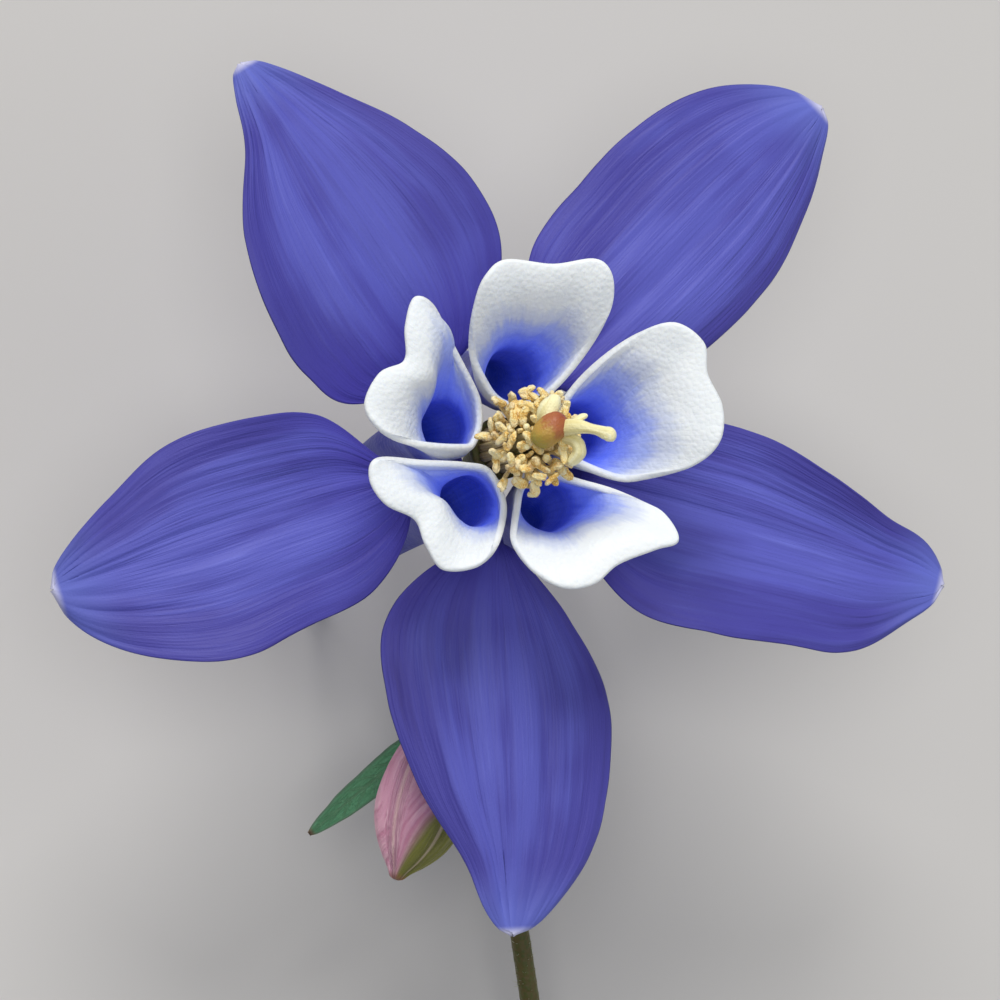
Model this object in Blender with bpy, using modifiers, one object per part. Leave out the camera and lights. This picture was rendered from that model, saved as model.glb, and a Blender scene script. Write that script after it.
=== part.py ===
"""A cut flowering stem of columbine: one open bloom, a nodding bud and a small bract.

The stem lies down with the bloom facing up, as it rests when it is laid on a table. It stands on the
knobs of the five petal spurs and on the cut end of the stem. Sizes are in metres, +Z is up, and the
origin is the middle of the whole outline on the surface that the spray lies on. Each flower part is
worked out in the bloom's own frame: its middle is the bloom's axis at the height of the sepals.
"""

import math
from math import cos, pi, radians, sin

import bmesh
import bpy
import numpy as np
from mathutils import Matrix, Vector

MM = 0.001
GAP = 0.3 * MM  # between pieces that touch on the plant
BLOOM = Vector((-1.21, 41.8, 38.0)) * MM  # the bloom's middle, above the surface
FLOOR = -BLOOM.z  # the surface, in the bloom's frame

# Sepals: the blue-violet outer leaves of the bloom.
SEPAL_THICKNESS = 0.6 * MM
CLAW_START = 2.45 * MM  # distance from the axis
CLAW_HALF_WIDTH = 0.65 * MM
CLAW_DEPTH = 3.0 * MM  # how far the claw starts below the blade
BLADE_START = 8.5 * MM
TIP_HALF_WIDTH = 0.4 * MM
WIDTH_STATIONS = (0.06, 0.2, 0.4, 0.6, 0.8, 0.93)  # shares of the blade, for the half widths below
# Direction in degrees, length from the axis and the half widths on both sides in millimetres.
SEPALS = {
    "sepal_1": dict(
        turn=124.7, length=41.4, arch=1.4, cup=1.2, wave=0.3,
        left=(8.5, 11.1, 11.1, 9.2, 4.4, 2.2), right=(6.5, 10.5, 11.3, 9.4, 5.7, 2.9)),
    "sepal_2": dict(
        turn=46.0, length=44.8, arch=1.0, cup=-1.6, wave=0.3,
        left=(6.0, 10.1, 11.2, 11.2, 9.2, 5.5), right=(4.0, 6.6, 7.9, 7.8, 5.5, 2.9)),
    "sepal_3": dict(
        turn=-15.2, length=44.2, arch=1.2, cup=1.6, wave=0.4,
        left=(4.5, 7.4, 8.0, 6.5, 4.3, 3.3), right=(6.5, 10.5, 10.8, 9.8, 8.4, 4.2)),
    "sepal_4": dict(
        turn=-87.9, length=43.5, arch=1.0, cup=-1.4, wave=0.25,
        left=(2.8, 6.7, 9.9, 9.6, 7.6, 4.2), right=(6.6, 10.7, 10.6, 8.3, 4.3, 2.6)),
    "sepal_5": dict(
        turn=198.1, length=42.3, arch=1.6, cup=1.0, wave=0.6,
        left=(5.2, 8.8, 9.9, 10.7, 8.5, 5.3), right=(2.6, 7.8, 9.3, 9.2, 6.0, 3.3)),
}

# Petals: a white blade that funnels down into a blue throat and a long spur behind.
PETAL_WALL = 0.6 * MM
THROAT_HEIGHT = 2.0 * MM
THROAT_RADIUS = 3.0 * MM
THROAT_FROM_AXIS = 6.3 * MM
LEAN_HEIGHTS = (5.0 * MM, 12.0 * MM)  # where a petal turns from its throat's direction to its blade's
BORE_FLOOR = -9.0 * MM  # the bottom of the hollow that the model keeps in the spur
# The spur's middle line and radius, from the throat down: from the axis, height and radius.
SPUR = tuple(
    (a * MM, b * MM, c * MM)
    for a, b, c in (
        (6.5, -1.5, 2.45), (7.2, -5.0, 2.0), (8.1, -9.0, 1.65), (9.4, -15.0, 1.25), (11.0, -22.0, 1.0),
        (12.6, -30.0, 0.85), (13.3, -34.8, 0.85), (13.5, -35.9, 1.1), (13.5, -37.0, 1.1), (13.5, -37.7, 0.9),
    )
)
KNOB_FLAT_RADIUS = 0.65 * MM
SWING_HEIGHTS = (-22.0 * MM, 0.0)  # where a spur swings from its throat's direction to its knob's
# The free edge of a petal by its angle round the throat: from the axis, sideways, height, flare.
# The rows for the blade's middle and its two lobes take their place from each petal's own sizes.
EDGE_SIDES = (
    (78.0, 11.4, 6.4, 12.4, 58.0),
    (106.0, 8.0, 5.9, 10.2, 40.0),
    (142.0, 4.5, 3.4, 8.5, 15.0),
    (180.0, 2.95, 0.0, 7.6, -4.0),
)
# Directions of the throat, the blade and the spur's knob in degrees, then the blade's sizes in millimetres.
PETALS = {
    "petal_1": dict(throat=87, blade=84.8, spur=87, middle=14.9, lobe=15.7, half=4.8, height=14.2, flare=78),
    "petal_2": dict(throat=167, blade=150, spur=190, middle=13.7, lobe=15.4, half=5.3, height=12.4, flare=98),
    "petal_3": dict(throat=232, blade=214.5, spur=234, middle=13.6, lobe=14.5, half=5.9, height=11.8, flare=98),
    "petal_4": dict(throat=303, blade=304, spur=306, middle=13.4, lobe=14.0, half=5.6, height=14.0, flare=78),
    "petal_5": dict(throat=13, blade=20.8, spur=15, middle=17.0, lobe=16.8, half=5.0, height=14.0, flare=78),
}
# How straight the throat's wall rises before it flares: the two petals on the left roll over like a lip.
PETAL_RISE = {"petal_2": 1.9, "petal_3": 1.9}
PETAL_RISE_ELSE = 1.3
PETAL_SIDES = 20
BLADE_ROWS = 7

# Stamens stand round the pistils on the receptacle.
STAMEN_COUNT = 42
STAMEN_COLUMN = (2.6 * MM, 8.6 * MM)  # bottom and top of the sleeve that their stalks form
STAMEN_SLEEVE = (1.4 * MM, 2.4 * MM)  # its inner and outer radius
STAMEN_HEAD = (2.0 * MM, 4.5 * MM)  # the head's inner and outer radius
STAMEN_TOP = 15.4  # height of the innermost stamens in millimetres
STAMEN_FALL = 3.0  # how much lower the outermost ones end
STAMEN_UNEVEN = 0.7  # how much each one differs from that
ANTHER_LENGTH = 1.6 * MM
ANTHER_RADIUS = 0.55 * MM
FILAMENT_RADIUS = 0.3 * MM

PISTIL_COUNT = 5
OVARY_RADIUS = 0.5 * MM
STYLE_RADIUS = 0.3 * MM
# A pistil's ovary, then its style: distance from the axis, height and radius in millimetres.
OVARY = (
    (0.45, 2.6, OVARY_RADIUS * 0.8), (0.5, 4.5, OVARY_RADIUS), (0.5, 7.5, OVARY_RADIUS),
    (0.45, 9.5, STYLE_RADIUS * 1.2), (0.55, 13.0, STYLE_RADIUS),
)
FAR_STYLE = ((1.0, 16.4, STYLE_RADIUS), (2.4, 18.6, STYLE_RADIUS), (4.6, 19.6, STYLE_RADIUS),
             (5.5, 19.2, STYLE_RADIUS * 1.1))
NEAR_STYLE = ((0.8, 16.4, STYLE_RADIUS), (1.2, 17.6, STYLE_RADIUS), (1.9, 18.4, STYLE_RADIUS),
              (2.4, 18.6, STYLE_RADIUS * 1.1))

# The stem's middle line in millimetres from the bloom's middle, from the receptacle to the cut.
STEM_RADIUS = 0.95 * MM
STEM_PATH = (
    (0.0, 0.0, -4.5), (0.0, -0.8, -9.5), (0.9, -6.0, -15.5), (2.6, -14.0, -19.2), (4.6, -24.0, -20.6),
    (6.5, -34.0, -21.2), (8.2, -43.0, -22.0), (10.1, -52.0, -23.8), (12.8, -65.0, -27.4),
    (16.0, -82.0, -32.4), (19.0, -98.0, -36.2), (20.8, -108.0, -37.12), (22.5, -118.0, -37.12),
)
PEDICEL_RADIUS = 0.75 * MM
PEDICEL_PATH = (
    (3.9, -20.5, -20.3), (3.6, -17.6, -18.6), (3.1, -15.3, -16.2), (2.3, -15.0, -13.7),
    (1.5, -17.4, -12.4), (0.6, -19.9, -12.1), (-0.62, -23.08, -12.04),
)
# The receptacle's outline, from the stem up: radius and height in millimetres.
RECEPTACLE = ((0.9, -6.4), (1.5, -5.2), (1.95, -4.0), (2.05, -1.5), (2.3, 0.3), (2.85, 1.5), (2.85, 2.3))

BUD_BASE = Vector((-1.1, -24.4, -12.0)) * MM
BUD_TIP = Vector((-6.3, -38.6, -11.6)) * MM
# The bud's outline: share of its length, radius in millimetres.
BUD_OUTLINE = (
    (0.0, 1.3), (0.05, 2.2), (0.16, 3.3), (0.32, 4.1), (0.48, 4.35), (0.63, 4.1), (0.77, 3.3),
    (0.88, 2.1), (0.95, 1.1), (1.0, 0.55),
)
BUD_SIDES = 20
BUD_SEAM = 0.07  # how deep the seams between the bud's sepals are, as a share of its radius
# The disc behind the bud that its spurs leave: radius and height in millimetres.
BUD_DISC = ((1.5, -1.1), (1.9, -0.8), (1.9, -0.4))
BUD_SPUR_COUNT = 5
BUD_SPUR_LENGTH = 7.0 * MM
BUD_SPUR_FOOT = -0.75 * MM  # the height at which a spur starts
BUD_SPUR_OUT = (1.6, 1.3)  # its distance from the bud's axis and how much it bows out, in millimetres
BUD_SPUR_HOOK = 0.62  # how far it hooks back, in half turns
BUD_SPUR_SHARES = (0, 0.5, 0.85, 1)  # places along a spur, for the radii below
BUD_SPUR_RADII = (0.6, 0.42, 0.36, 0.42)

BRACT_BASE = Vector((2.75, -22.3, -20.4)) * MM
BRACT_TIP = Vector((-12.6, -34.4, -19.2)) * MM
BRACT_HALF_WIDTH = 1.5 * MM
BRACT_THICKNESS = 0.6 * MM


def clear_scene():
    for thing in list(bpy.data.objects):
        bpy.data.objects.remove(thing)


def new_collection(name):
    made = bpy.data.collections.new(name)
    bpy.context.scene.collection.children.link(made)
    return made


def new_material(name, colour, roughness=0.55):
    material = bpy.data.materials.new(name)
    material.use_nodes = True
    shader = material.node_tree.nodes["Principled BSDF"]
    shader.inputs["Base Color"].default_value = (*colour, 1.0)
    shader.inputs["Roughness"].default_value = roughness
    shader.inputs["Metallic"].default_value = 0.0
    return material


def add_object(mesh, collection, material, parent=None):
    """Links a mesh as an object that carries the mesh's name."""
    made = bpy.data.objects.new(mesh.name, mesh)
    collection.objects.link(made)
    mesh.materials.clear()
    mesh.materials.append(material)
    mesh.shade_smooth()
    made.parent = parent
    return made


def smooth_through(knots, values, at):
    """A smooth curve through values at knots, as cubic pieces with shared slopes."""
    knots = np.asarray(knots, float)
    values = np.asarray(values, float)
    slopes = np.gradient(values, knots, axis=0)
    at = np.clip(at, knots[0], knots[-1])
    i = np.clip(np.searchsorted(knots, at, side="right") - 1, 0, len(knots) - 2)
    span = knots[i + 1] - knots[i]
    u = (at - knots[i]) / span
    if values.ndim > 1:
        span, u = span[..., None], u[..., None]
    start = (2 * u**3 - 3 * u**2 + 1) * values[i] + (u**3 - 2 * u**2 + u) * span * slopes[i]
    end = (3 * u**2 - 2 * u**3) * values[i + 1] + (u**3 - u**2) * span * slopes[i + 1]
    return start + end


def smooth_path(points, count):
    """A path of even steps on a smooth curve through points."""
    points = np.asarray(points, float)
    along = np.concatenate([[0.0], np.cumsum(np.linalg.norm(np.diff(points, axis=0), axis=1))])
    return smooth_through(along, points, np.linspace(0.0, along[-1], count))


def smoothstep(low, high, x):
    u = np.clip((x - low) / (high - low), 0.0, 1.0)
    return u * u * (3 - 2 * u)


def loft(name, rings):
    """A closed body through rings with the same number of points, capped at both ends."""
    count = len(rings[0])
    points = [tuple(point) for ring in rings for point in ring]
    faces = [tuple(reversed(range(count)))]
    for start in range(0, len(points) - count, count):
        for i in range(count):
            j = (i + 1) % count
            faces.append((start + i, start + j, start + count + j))
            faces.append((start + i, start + count + j, start + count + i))
    faces.append(tuple(range(len(points) - count, len(points))))
    mesh = bpy.data.meshes.new(name)
    mesh.from_pydata(points, [], faces)
    return mesh


def tube_rings(path, radii, sides):
    """Rings square to a path, without twist from one to the next."""
    path = np.asarray(path, float)
    tangents = np.gradient(path, axis=0)
    tangents /= np.linalg.norm(tangents, axis=1)[:, None]
    side = np.cross(tangents[0], (0.0, 1.0, 0.0) if abs(tangents[0][1]) < 0.9 else (1.0, 0.0, 0.0))
    rings = []
    for point, tangent, radius in zip(path, tangents, radii):
        side = side - tangent * (side @ tangent)
        side /= np.linalg.norm(side)
        other = np.cross(tangent, side)
        angles = 2 * pi * np.arange(sides) / sides
        rings.append(point + radius * (np.outer(np.cos(angles), side) + np.outer(np.sin(angles), other)))
    return rings


def joined(name, pieces, collection, material, parent=None):
    """One body from closed meshes that run into each other, as a Boolean union of them all."""
    helpers = bpy.data.collections.new(name + "_pieces")
    bpy.context.scene.collection.children.link(helpers)
    for mesh in pieces[1:]:
        helpers.objects.link(bpy.data.objects.new(mesh.name, mesh))
    first = bpy.data.objects.new(name + "_first", pieces[0])
    bpy.context.scene.collection.objects.link(first)
    union = first.modifiers.new("union", "BOOLEAN")
    union.operation = "UNION"
    union.operand_type = "COLLECTION"
    union.collection = helpers
    union.solver = "MANIFOLD"
    graph = bpy.context.evaluated_depsgraph_get()
    mesh = bpy.data.meshes.new_from_object(first.evaluated_get(graph))
    mesh.name = name
    for helper in list(helpers.objects):
        bpy.data.objects.remove(helper)
    bpy.data.objects.remove(first)
    bpy.data.collections.remove(helpers)
    return add_object(mesh, collection, material, parent)


def blade_surface(along, across, shape):
    """Points of a sepal in its own frame, +X from the axis to the tip. across runs from -1 to 1."""
    length = shape["length"] * MM
    share = np.clip((along - BLADE_START) / (length - BLADE_START), 0.0, 1.0)
    knots = (0.0, *WIDTH_STATIONS, 1.0)
    sides = []
    for side in ("right", "left"):
        widths = np.array([CLAW_HALF_WIDTH, *(w * MM for w in shape[side]), TIP_HALF_WIDTH])
        squared = smooth_through(knots, widths**2, share)
        sides.append(np.sqrt(np.maximum(squared, TIP_HALF_WIDTH**2)))
    width = np.where(across < 0, sides[0], sides[1])
    settle = smoothstep(0.0, 0.14, share)
    height = -CLAW_DEPTH * (1 - smoothstep(4.0 * MM, 10.0 * MM, along))
    height = height + shape["arch"] * MM * np.sin(pi * share)
    height = height + shape["cup"] * MM * settle * across**2 * np.sin(pi * share**0.8)
    ripple = np.sin(9.0 * share + 2.0 * np.sign(across)) * np.abs(across) ** 3
    height = height + shape["wave"] * MM * settle * ripple
    return np.stack([along, across * width, height], axis=-1)


def sepal(name, shape, collection, material, parent):
    """A sepal as an open sheet of triangles with its thickness from Solidify."""
    length = shape["length"] * MM
    claw = np.linspace(CLAW_START, BLADE_START, 4)[:-1]
    blade = BLADE_START + (length - BLADE_START) * (1 - np.cos(pi * np.arange(12) / 11)) / 2
    rows = np.concatenate([claw, blade])
    columns = np.sin(np.linspace(-pi / 2, pi / 2, 9))
    points = blade_surface(rows[:, None] + 0 * columns, 0 * rows[:, None] + columns, shape)
    count = len(columns)
    faces = []
    for i in range(len(rows) - 1):
        for j in range(count - 1):
            a = i * count + j
            faces += [(a, a + count, a + count + 1), (a, a + count + 1, a + 1)]
    mesh = bpy.data.meshes.new(name)
    mesh.from_pydata(points.reshape(-1, 3).tolist(), [], faces)
    made = add_object(mesh, collection, material, parent)
    made.rotation_euler.z = radians(shape["turn"])
    thick = made.modifiers.new("thickness", "SOLIDIFY")
    thick.thickness = SEPAL_THICKNESS
    thick.offset = 0.0
    return made


def petal_edge(angles, shape):
    """The petal's free edge and its flare, for angles round the throat, in the petal's own frame."""
    flare = shape["flare"]
    high = shape["height"]
    middle = (0.0, shape["middle"], 0.0, high - 0.2, flare)
    shoulder = (26.0, (shape["middle"] + shape["lobe"]) / 2 + 0.35, 0.55 * shape["half"], high, flare)
    lobe = (50.0, math.sqrt(shape["lobe"] ** 2 - shape["half"] ** 2), shape["half"], high - 0.1, flare - 8)
    rows = np.array([middle, shoulder, lobe, *EDGE_SIDES])
    mirrored = rows[::-1] * (-1, 1, -1, 1, 1)
    rows = np.concatenate([mirrored[:-1], rows])
    values = smooth_through(rows[:, 0], rows[:, 1:], np.degrees(angles))
    return values[:, :3] * MM, np.radians(values[:, 3])


def petal_room(name, turned):
    """Half the angle to the next petal on the right and on the left, where a petal has turned that far."""
    names = list(PETALS)
    ways = [PETALS[n]["throat"] + (PETALS[n]["blade"] - PETALS[n]["throat"]) * turned for n in names]
    i = names.index(name)
    right = (ways[i] - ways[i - 1]) % 360 / 2
    left = (ways[(i + 1) % len(names)] - ways[i]) % 360 / 2
    return np.radians(right), np.radians(left)


def petal_surface(name, angles, v):
    """A ring of the petal above its throat: v is 0 at the throat and 1 at the free edge."""
    shape = PETALS[name]
    start = np.stack(
        [THROAT_FROM_AXIS + THROAT_RADIUS * np.cos(angles), THROAT_RADIUS * np.sin(angles),
         np.full_like(angles, THROAT_HEIGHT)], axis=-1)
    end, flare = petal_edge(angles, shape)
    reach = np.linalg.norm(end - start, axis=1)[:, None]
    outward = (end - start) * (1, 1, 0)
    outward /= np.maximum(np.linalg.norm(outward, axis=1), 1e-6)[:, None]
    up = np.array([0.0, 0.0, 1.0])
    slope = np.sin(flare)[:, None] * outward + np.cos(flare)[:, None] * up
    pull = PETAL_RISE.get(name, PETAL_RISE_ELSE)
    ring = (2 * v**3 - 3 * v**2 + 1) * start + (v**3 - 2 * v**2 + v) * reach * pull * up
    ring = ring + (3 * v**2 - 2 * v**3) * end + (v**3 - v**2) * reach * slope
    turned = smoothstep(*LEAN_HEIGHTS, ring[:, 2])
    right, left = petal_room(name, turned)
    low = -ring[:, 0] * np.tan(right) + GAP
    high = ring[:, 0] * np.tan(left) - GAP
    ring[:, 1] = np.clip(ring[:, 1], low, high)
    return turned_by(ring, radians(shape["blade"] - shape["throat"]) * turned)


def turned_by(points, angle):
    """Points turned about the bloom's axis, each by its own angle."""
    x, y, z = points.T
    return np.stack([x * np.cos(angle) - y * np.sin(angle), x * np.sin(angle) + y * np.cos(angle), z], -1)


def spur_rings(angles, swing):
    """Rings of the spur from the knob's flat spot on the surface up to just under the throat."""
    line = np.array(SPUR[::-1])
    slopes = np.gradient(line[:, :2], axis=0)
    slopes /= np.linalg.norm(slopes, axis=1)[:, None]
    rings = []
    x, z = SPUR[-1][0], FLOOR
    flat = KNOB_FLAT_RADIUS
    rings.append(np.stack([x + flat * np.cos(angles), flat * np.sin(angles), np.full_like(angles, z)], -1))
    for (x, z, radius), (across, up) in zip(line, slopes):
        rings.append(np.stack(
            [x + radius * np.cos(angles) * up, radius * np.sin(angles),
             z - radius * np.cos(angles) * across], axis=-1))
    depths = [ring[:, 2].mean() for ring in rings]
    swings = [swing * float(1 - smoothstep(*SWING_HEIGHTS, depth)) for depth in depths]
    return [turned_by(ring, angle) for ring, angle in zip(rings, swings)]


def petal(name, shape, collection, material, parent):
    """A petal as one loft: up the outside from the spur's knob to the edge, and down the inside."""
    angles = 2 * pi * np.arange(PETAL_SIDES) / PETAL_SIDES
    angles = np.where(angles > pi, angles - 2 * pi, angles)
    spur = spur_rings(angles, radians(shape["spur"] - shape["throat"]))
    shares = np.linspace(0.0, 1.0, BLADE_ROWS + 1)
    outside = spur + [petal_surface(name, angles, v) for v in shares]
    grid = np.array(outside)
    round_it = np.roll(grid, -1, axis=1) - np.roll(grid, 1, axis=1)
    upward = np.gradient(grid, axis=0)
    normals = np.cross(round_it, upward)
    normals /= np.linalg.norm(normals, axis=2)[:, :, None]
    inner = grid - normals * PETAL_WALL
    bore = [i for i, ring in enumerate(grid) if ring[:, 2].mean() > BORE_FLOOR]
    mesh = loft(name, list(grid) + [inner[i] for i in reversed(bore)])
    made = add_object(mesh, collection, material, parent)
    made.rotation_euler.z = radians(shape["throat"])
    return made


def stamens(collection, material, parent):
    """The ring of stamens: a sleeve of stalks that parts into bent filaments with their anthers."""
    low, high = STAMEN_COLUMN
    inside, outside = STAMEN_SLEEVE
    angles = 2 * pi * np.arange(16) / 16
    wheel = np.stack([np.cos(angles), np.sin(angles), 0 * angles], axis=-1)
    lift = np.array([0.0, 0.0, 1.0])
    rings = [outside * 0.96 * wheel + low * lift, outside * wheel + high * lift,
             inside * wheel + high * lift, inside * wheel + low * lift]
    pieces = [ring_loft("sleeve", rings)]
    rng = np.random.default_rng(7)
    for i in range(STAMEN_COUNT):
        turn = i * pi * (3 - math.sqrt(5)) + rng.uniform(-0.1, 0.1)
        share = (i + 0.5) / STAMEN_COUNT
        head = math.sqrt(STAMEN_HEAD[0] ** 2 + share * (STAMEN_HEAD[1] ** 2 - STAMEN_HEAD[0] ** 2))
        top = (STAMEN_TOP - STAMEN_FALL * share + rng.uniform(-STAMEN_UNEVEN, STAMEN_UNEVEN)) * MM
        root = (inside + outside) / 2 + rng.uniform(-0.2, 0.2) * MM
        lean = (head - root) / 6.0
        profile = (
            (root, high - 1.2 * MM, FILAMENT_RADIUS),
            (root + 0.8 * lean, 0.5 * (high + top), FILAMENT_RADIUS),
            (head - lean, top - ANTHER_LENGTH, FILAMENT_RADIUS * 0.85),
            (head - 0.6 * lean, top - 0.8 * ANTHER_LENGTH, ANTHER_RADIUS),
            (head, top - 0.25 * ANTHER_LENGTH, ANTHER_RADIUS),
            (head + 0.2 * lean, top, ANTHER_RADIUS * 0.4),
        )
        path = [(r * cos(turn), r * sin(turn), z) for r, z, _ in profile]
        pieces.append(loft("stamen", tube_rings(path, [w for _, _, w in profile], 4)))
    return joined("stamens", pieces, collection, material, parent)


def ring_loft(name, rings):
    """A closed ring-shaped body: its last ring joins its first."""
    count = len(rings[0])
    points = [tuple(point) for ring in rings for point in ring]
    faces = []
    for row in range(len(rings)):
        after = (row + 1) % len(rings)
        for i in range(count):
            j = (i + 1) % count
            faces.append((row * count + i, row * count + j, after * count + j, after * count + i))
    mesh = bpy.data.meshes.new(name)
    mesh.from_pydata(points, [], faces)
    return mesh


def pistils(collection, material, parent):
    """Five narrow ovaries side by side, each drawn out into a style. One style bends far out."""
    pieces = []
    for i in range(PISTIL_COUNT):
        turn = 2 * pi * i / PISTIL_COUNT
        profile = OVARY + (FAR_STYLE if i == 0 else NEAR_STYLE)
        path = [(r * cos(turn) * MM, r * sin(turn) * MM, z * MM) for r, z, _ in profile]
        pieces.append(loft("pistil", tube_rings(path, [w for _, _, w in profile], 6)))
    return joined("pistils", pieces, collection, material, parent)


def round_stalk(name, path, count, thick, thin):
    """A stalk as a beveled curve that tapers a little, made a closed mesh."""
    points = smooth_path(np.array(path) * MM, count)
    curve = bpy.data.curves.new(name, "CURVE")
    curve.dimensions = "3D"
    curve.bevel_depth = 1.0
    curve.bevel_resolution = 2
    curve.use_fill_caps = True
    spline = curve.splines.new("POLY")
    spline.points.add(count - 1)
    for point, place, radius in zip(spline.points, points, np.linspace(thick, thin, count)):
        point.co = (*place, 1.0)
        point.radius = radius
    holder = bpy.data.objects.new(name, curve)
    bpy.context.scene.collection.objects.link(holder)
    graph = bpy.context.evaluated_depsgraph_get()
    mesh = bpy.data.meshes.new_from_object(holder.evaluated_get(graph))
    bpy.data.objects.remove(holder)
    built = bmesh.new()
    built.from_mesh(mesh)
    bmesh.ops.remove_doubles(built, verts=built.verts, dist=0.001 * MM)
    bmesh.ops.recalc_face_normals(built, faces=built.faces)
    built.to_mesh(mesh)
    built.free()
    return mesh


def stem(collection, material, parent):
    """Stem, the bud's stalk and the receptacle, grown as one piece. Its cut end rests flat."""
    angles = 2 * pi * np.arange(16) / 16
    rings = [
        np.stack([r * MM * np.cos(angles), r * MM * np.sin(angles), np.full_like(angles, z * MM)], axis=-1)
        for r, z in RECEPTACLE
    ]
    pieces = [
        round_stalk("stalk", STEM_PATH, 40, STEM_RADIUS, STEM_RADIUS * 1.06),
        round_stalk("bud_stalk", PEDICEL_PATH, 14, PEDICEL_RADIUS, PEDICEL_RADIUS * 0.9),
        loft("receptacle", rings),
    ]
    made = joined("stem", pieces, collection, material, parent)
    for vertex in made.data.vertices:
        vertex.co.z = max(vertex.co.z, FLOOR)
    return made


def bud_frame():
    """Turns +Z into the bud's direction, from its base to its tip, and moves to its base."""
    along = (BUD_TIP - BUD_BASE).normalized()
    return Matrix.Translation(BUD_BASE) @ along.to_track_quat("Z", "Y").to_matrix().to_4x4()


def bud(collection, material, parent):
    """The closed bud: five sepals folded over each other, with shallow seams between them."""
    length = (BUD_TIP - BUD_BASE).length
    angles = 2 * pi * np.arange(BUD_SIDES) / BUD_SIDES
    seams = 1 - BUD_SEAM * np.abs(np.cos(2.5 * angles)) ** 3
    rings = []
    for share, radius in BUD_OUTLINE:
        size = radius * MM * seams
        rings.append(np.stack([size * np.cos(angles), size * np.sin(angles), np.full_like(size, share * length)], -1))
    made = add_object(loft("bud", rings), collection, material, parent)
    made.matrix_local = bud_frame()
    return made


def bud_spurs(collection, material, parent):
    """The bud's five short spurs: they leave a small disc behind the bud and hook back inward."""
    pieces = []
    angles = 2 * pi * np.arange(12) / 12
    disc = []
    for radius, height in BUD_DISC:
        disc.append(np.stack([radius * MM * np.cos(angles), radius * MM * np.sin(angles),
                              np.full_like(angles, height * MM)], axis=-1))
    pieces.append(loft("disc", disc))
    near, bow = BUD_SPUR_OUT
    for i in range(BUD_SPUR_COUNT):
        turn = 2 * pi * (i + 0.5) / BUD_SPUR_COUNT
        share = np.linspace(0.0, 1.0, 7)
        out = (near + bow * np.sin(pi * share * 0.9)) * MM
        back = BUD_SPUR_FOOT - BUD_SPUR_LENGTH * np.sin(share * BUD_SPUR_HOOK * pi)
        radii = np.interp(share, BUD_SPUR_SHARES, BUD_SPUR_RADII) * MM
        path = np.stack([out * cos(turn), out * sin(turn), back], axis=-1)
        pieces.append(loft("bud_spur", tube_rings(path, radii, 6)))
    made = joined("bud_spurs", pieces, collection, material, parent)
    made.matrix_local = bud_frame()
    return made


def bract(collection, material, parent):
    """The small leaf at the fork: a narrow blade with a raised middle, thick enough to stay one body."""
    along = BRACT_TIP - BRACT_BASE
    rows = np.linspace(0.0, 1.0, 13)
    half = BRACT_HALF_WIDTH * np.sqrt(np.maximum(np.sin(pi * rows**0.85), 0.0))
    half = np.maximum(half, 0.35 * MM)
    across = np.linspace(-1.0, 1.0, 5)
    droop = -0.7 * MM * np.sin(pi * rows)
    points, faces = [], []
    for share, width, fall in zip(rows, half, droop):
        for step in across:
            points.append((share * along.length, step * width, fall + 0.35 * width * step**2))
    count = len(across)
    for i in range(len(rows) - 1):
        for j in range(count - 1):
            a = i * count + j
            faces += [(a, a + count, a + count + 1), (a, a + count + 1, a + 1)]
    mesh = bpy.data.meshes.new("bract")
    mesh.from_pydata(points, [], faces)
    made = add_object(mesh, collection, material, parent)
    made.matrix_local = Matrix.Translation(BRACT_BASE) @ along.to_track_quat("X", "Z").to_matrix().to_4x4()
    thick = made.modifiers.new("thickness", "SOLIDIFY")
    thick.thickness = BRACT_THICKNESS
    thick.offset = 0.0
    return made


def main():
    clear_scene()
    plant = new_collection("columbine_spray")
    middle = bpy.data.objects.new("bloom_middle", None)
    middle.location = BLOOM
    plant.objects.link(middle)
    violet = new_material("blue_violet_sepal", (0.10, 0.11, 0.47), 0.5)
    white = new_material("white_petal", (0.74, 0.80, 0.84), 0.45)
    golden = new_material("golden_anther", (0.58, 0.44, 0.16), 0.7)
    pale = new_material("pale_style", (0.72, 0.72, 0.34), 0.5)
    green = new_material("olive_stem", (0.075, 0.085, 0.02), 0.55)
    rose = new_material("rose_bud", (0.5, 0.26, 0.38), 0.5)
    leaf = new_material("green_bract", (0.06, 0.18, 0.08), 0.55)
    for name, shape in SEPALS.items():
        sepal(name, shape, plant, violet, middle)
    for name, shape in PETALS.items():
        petal(name, shape, plant, white, middle)
    stamens(plant, golden, middle)
    pistils(plant, pale, middle)
    stem(plant, green, middle)
    bud(plant, rose, middle)
    bud_spurs(plant, violet, middle)
    bract(plant, leaf, middle)


main()
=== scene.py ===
# %% [markdown]
# # A cut flowering stem of columbine
#
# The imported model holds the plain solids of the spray: five sepals, five spurred petals, the stamens,
# the pistils, the stem, a bud and a bract. This lesson grows a finer piece over each of them, gives it
# the colours and the relief of living tissue, and lights it on a pale table. Every length is in metres.

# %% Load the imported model
import math

import bmesh
import bpy
import numpy as np
from mathutils import Matrix, Vector


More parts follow.
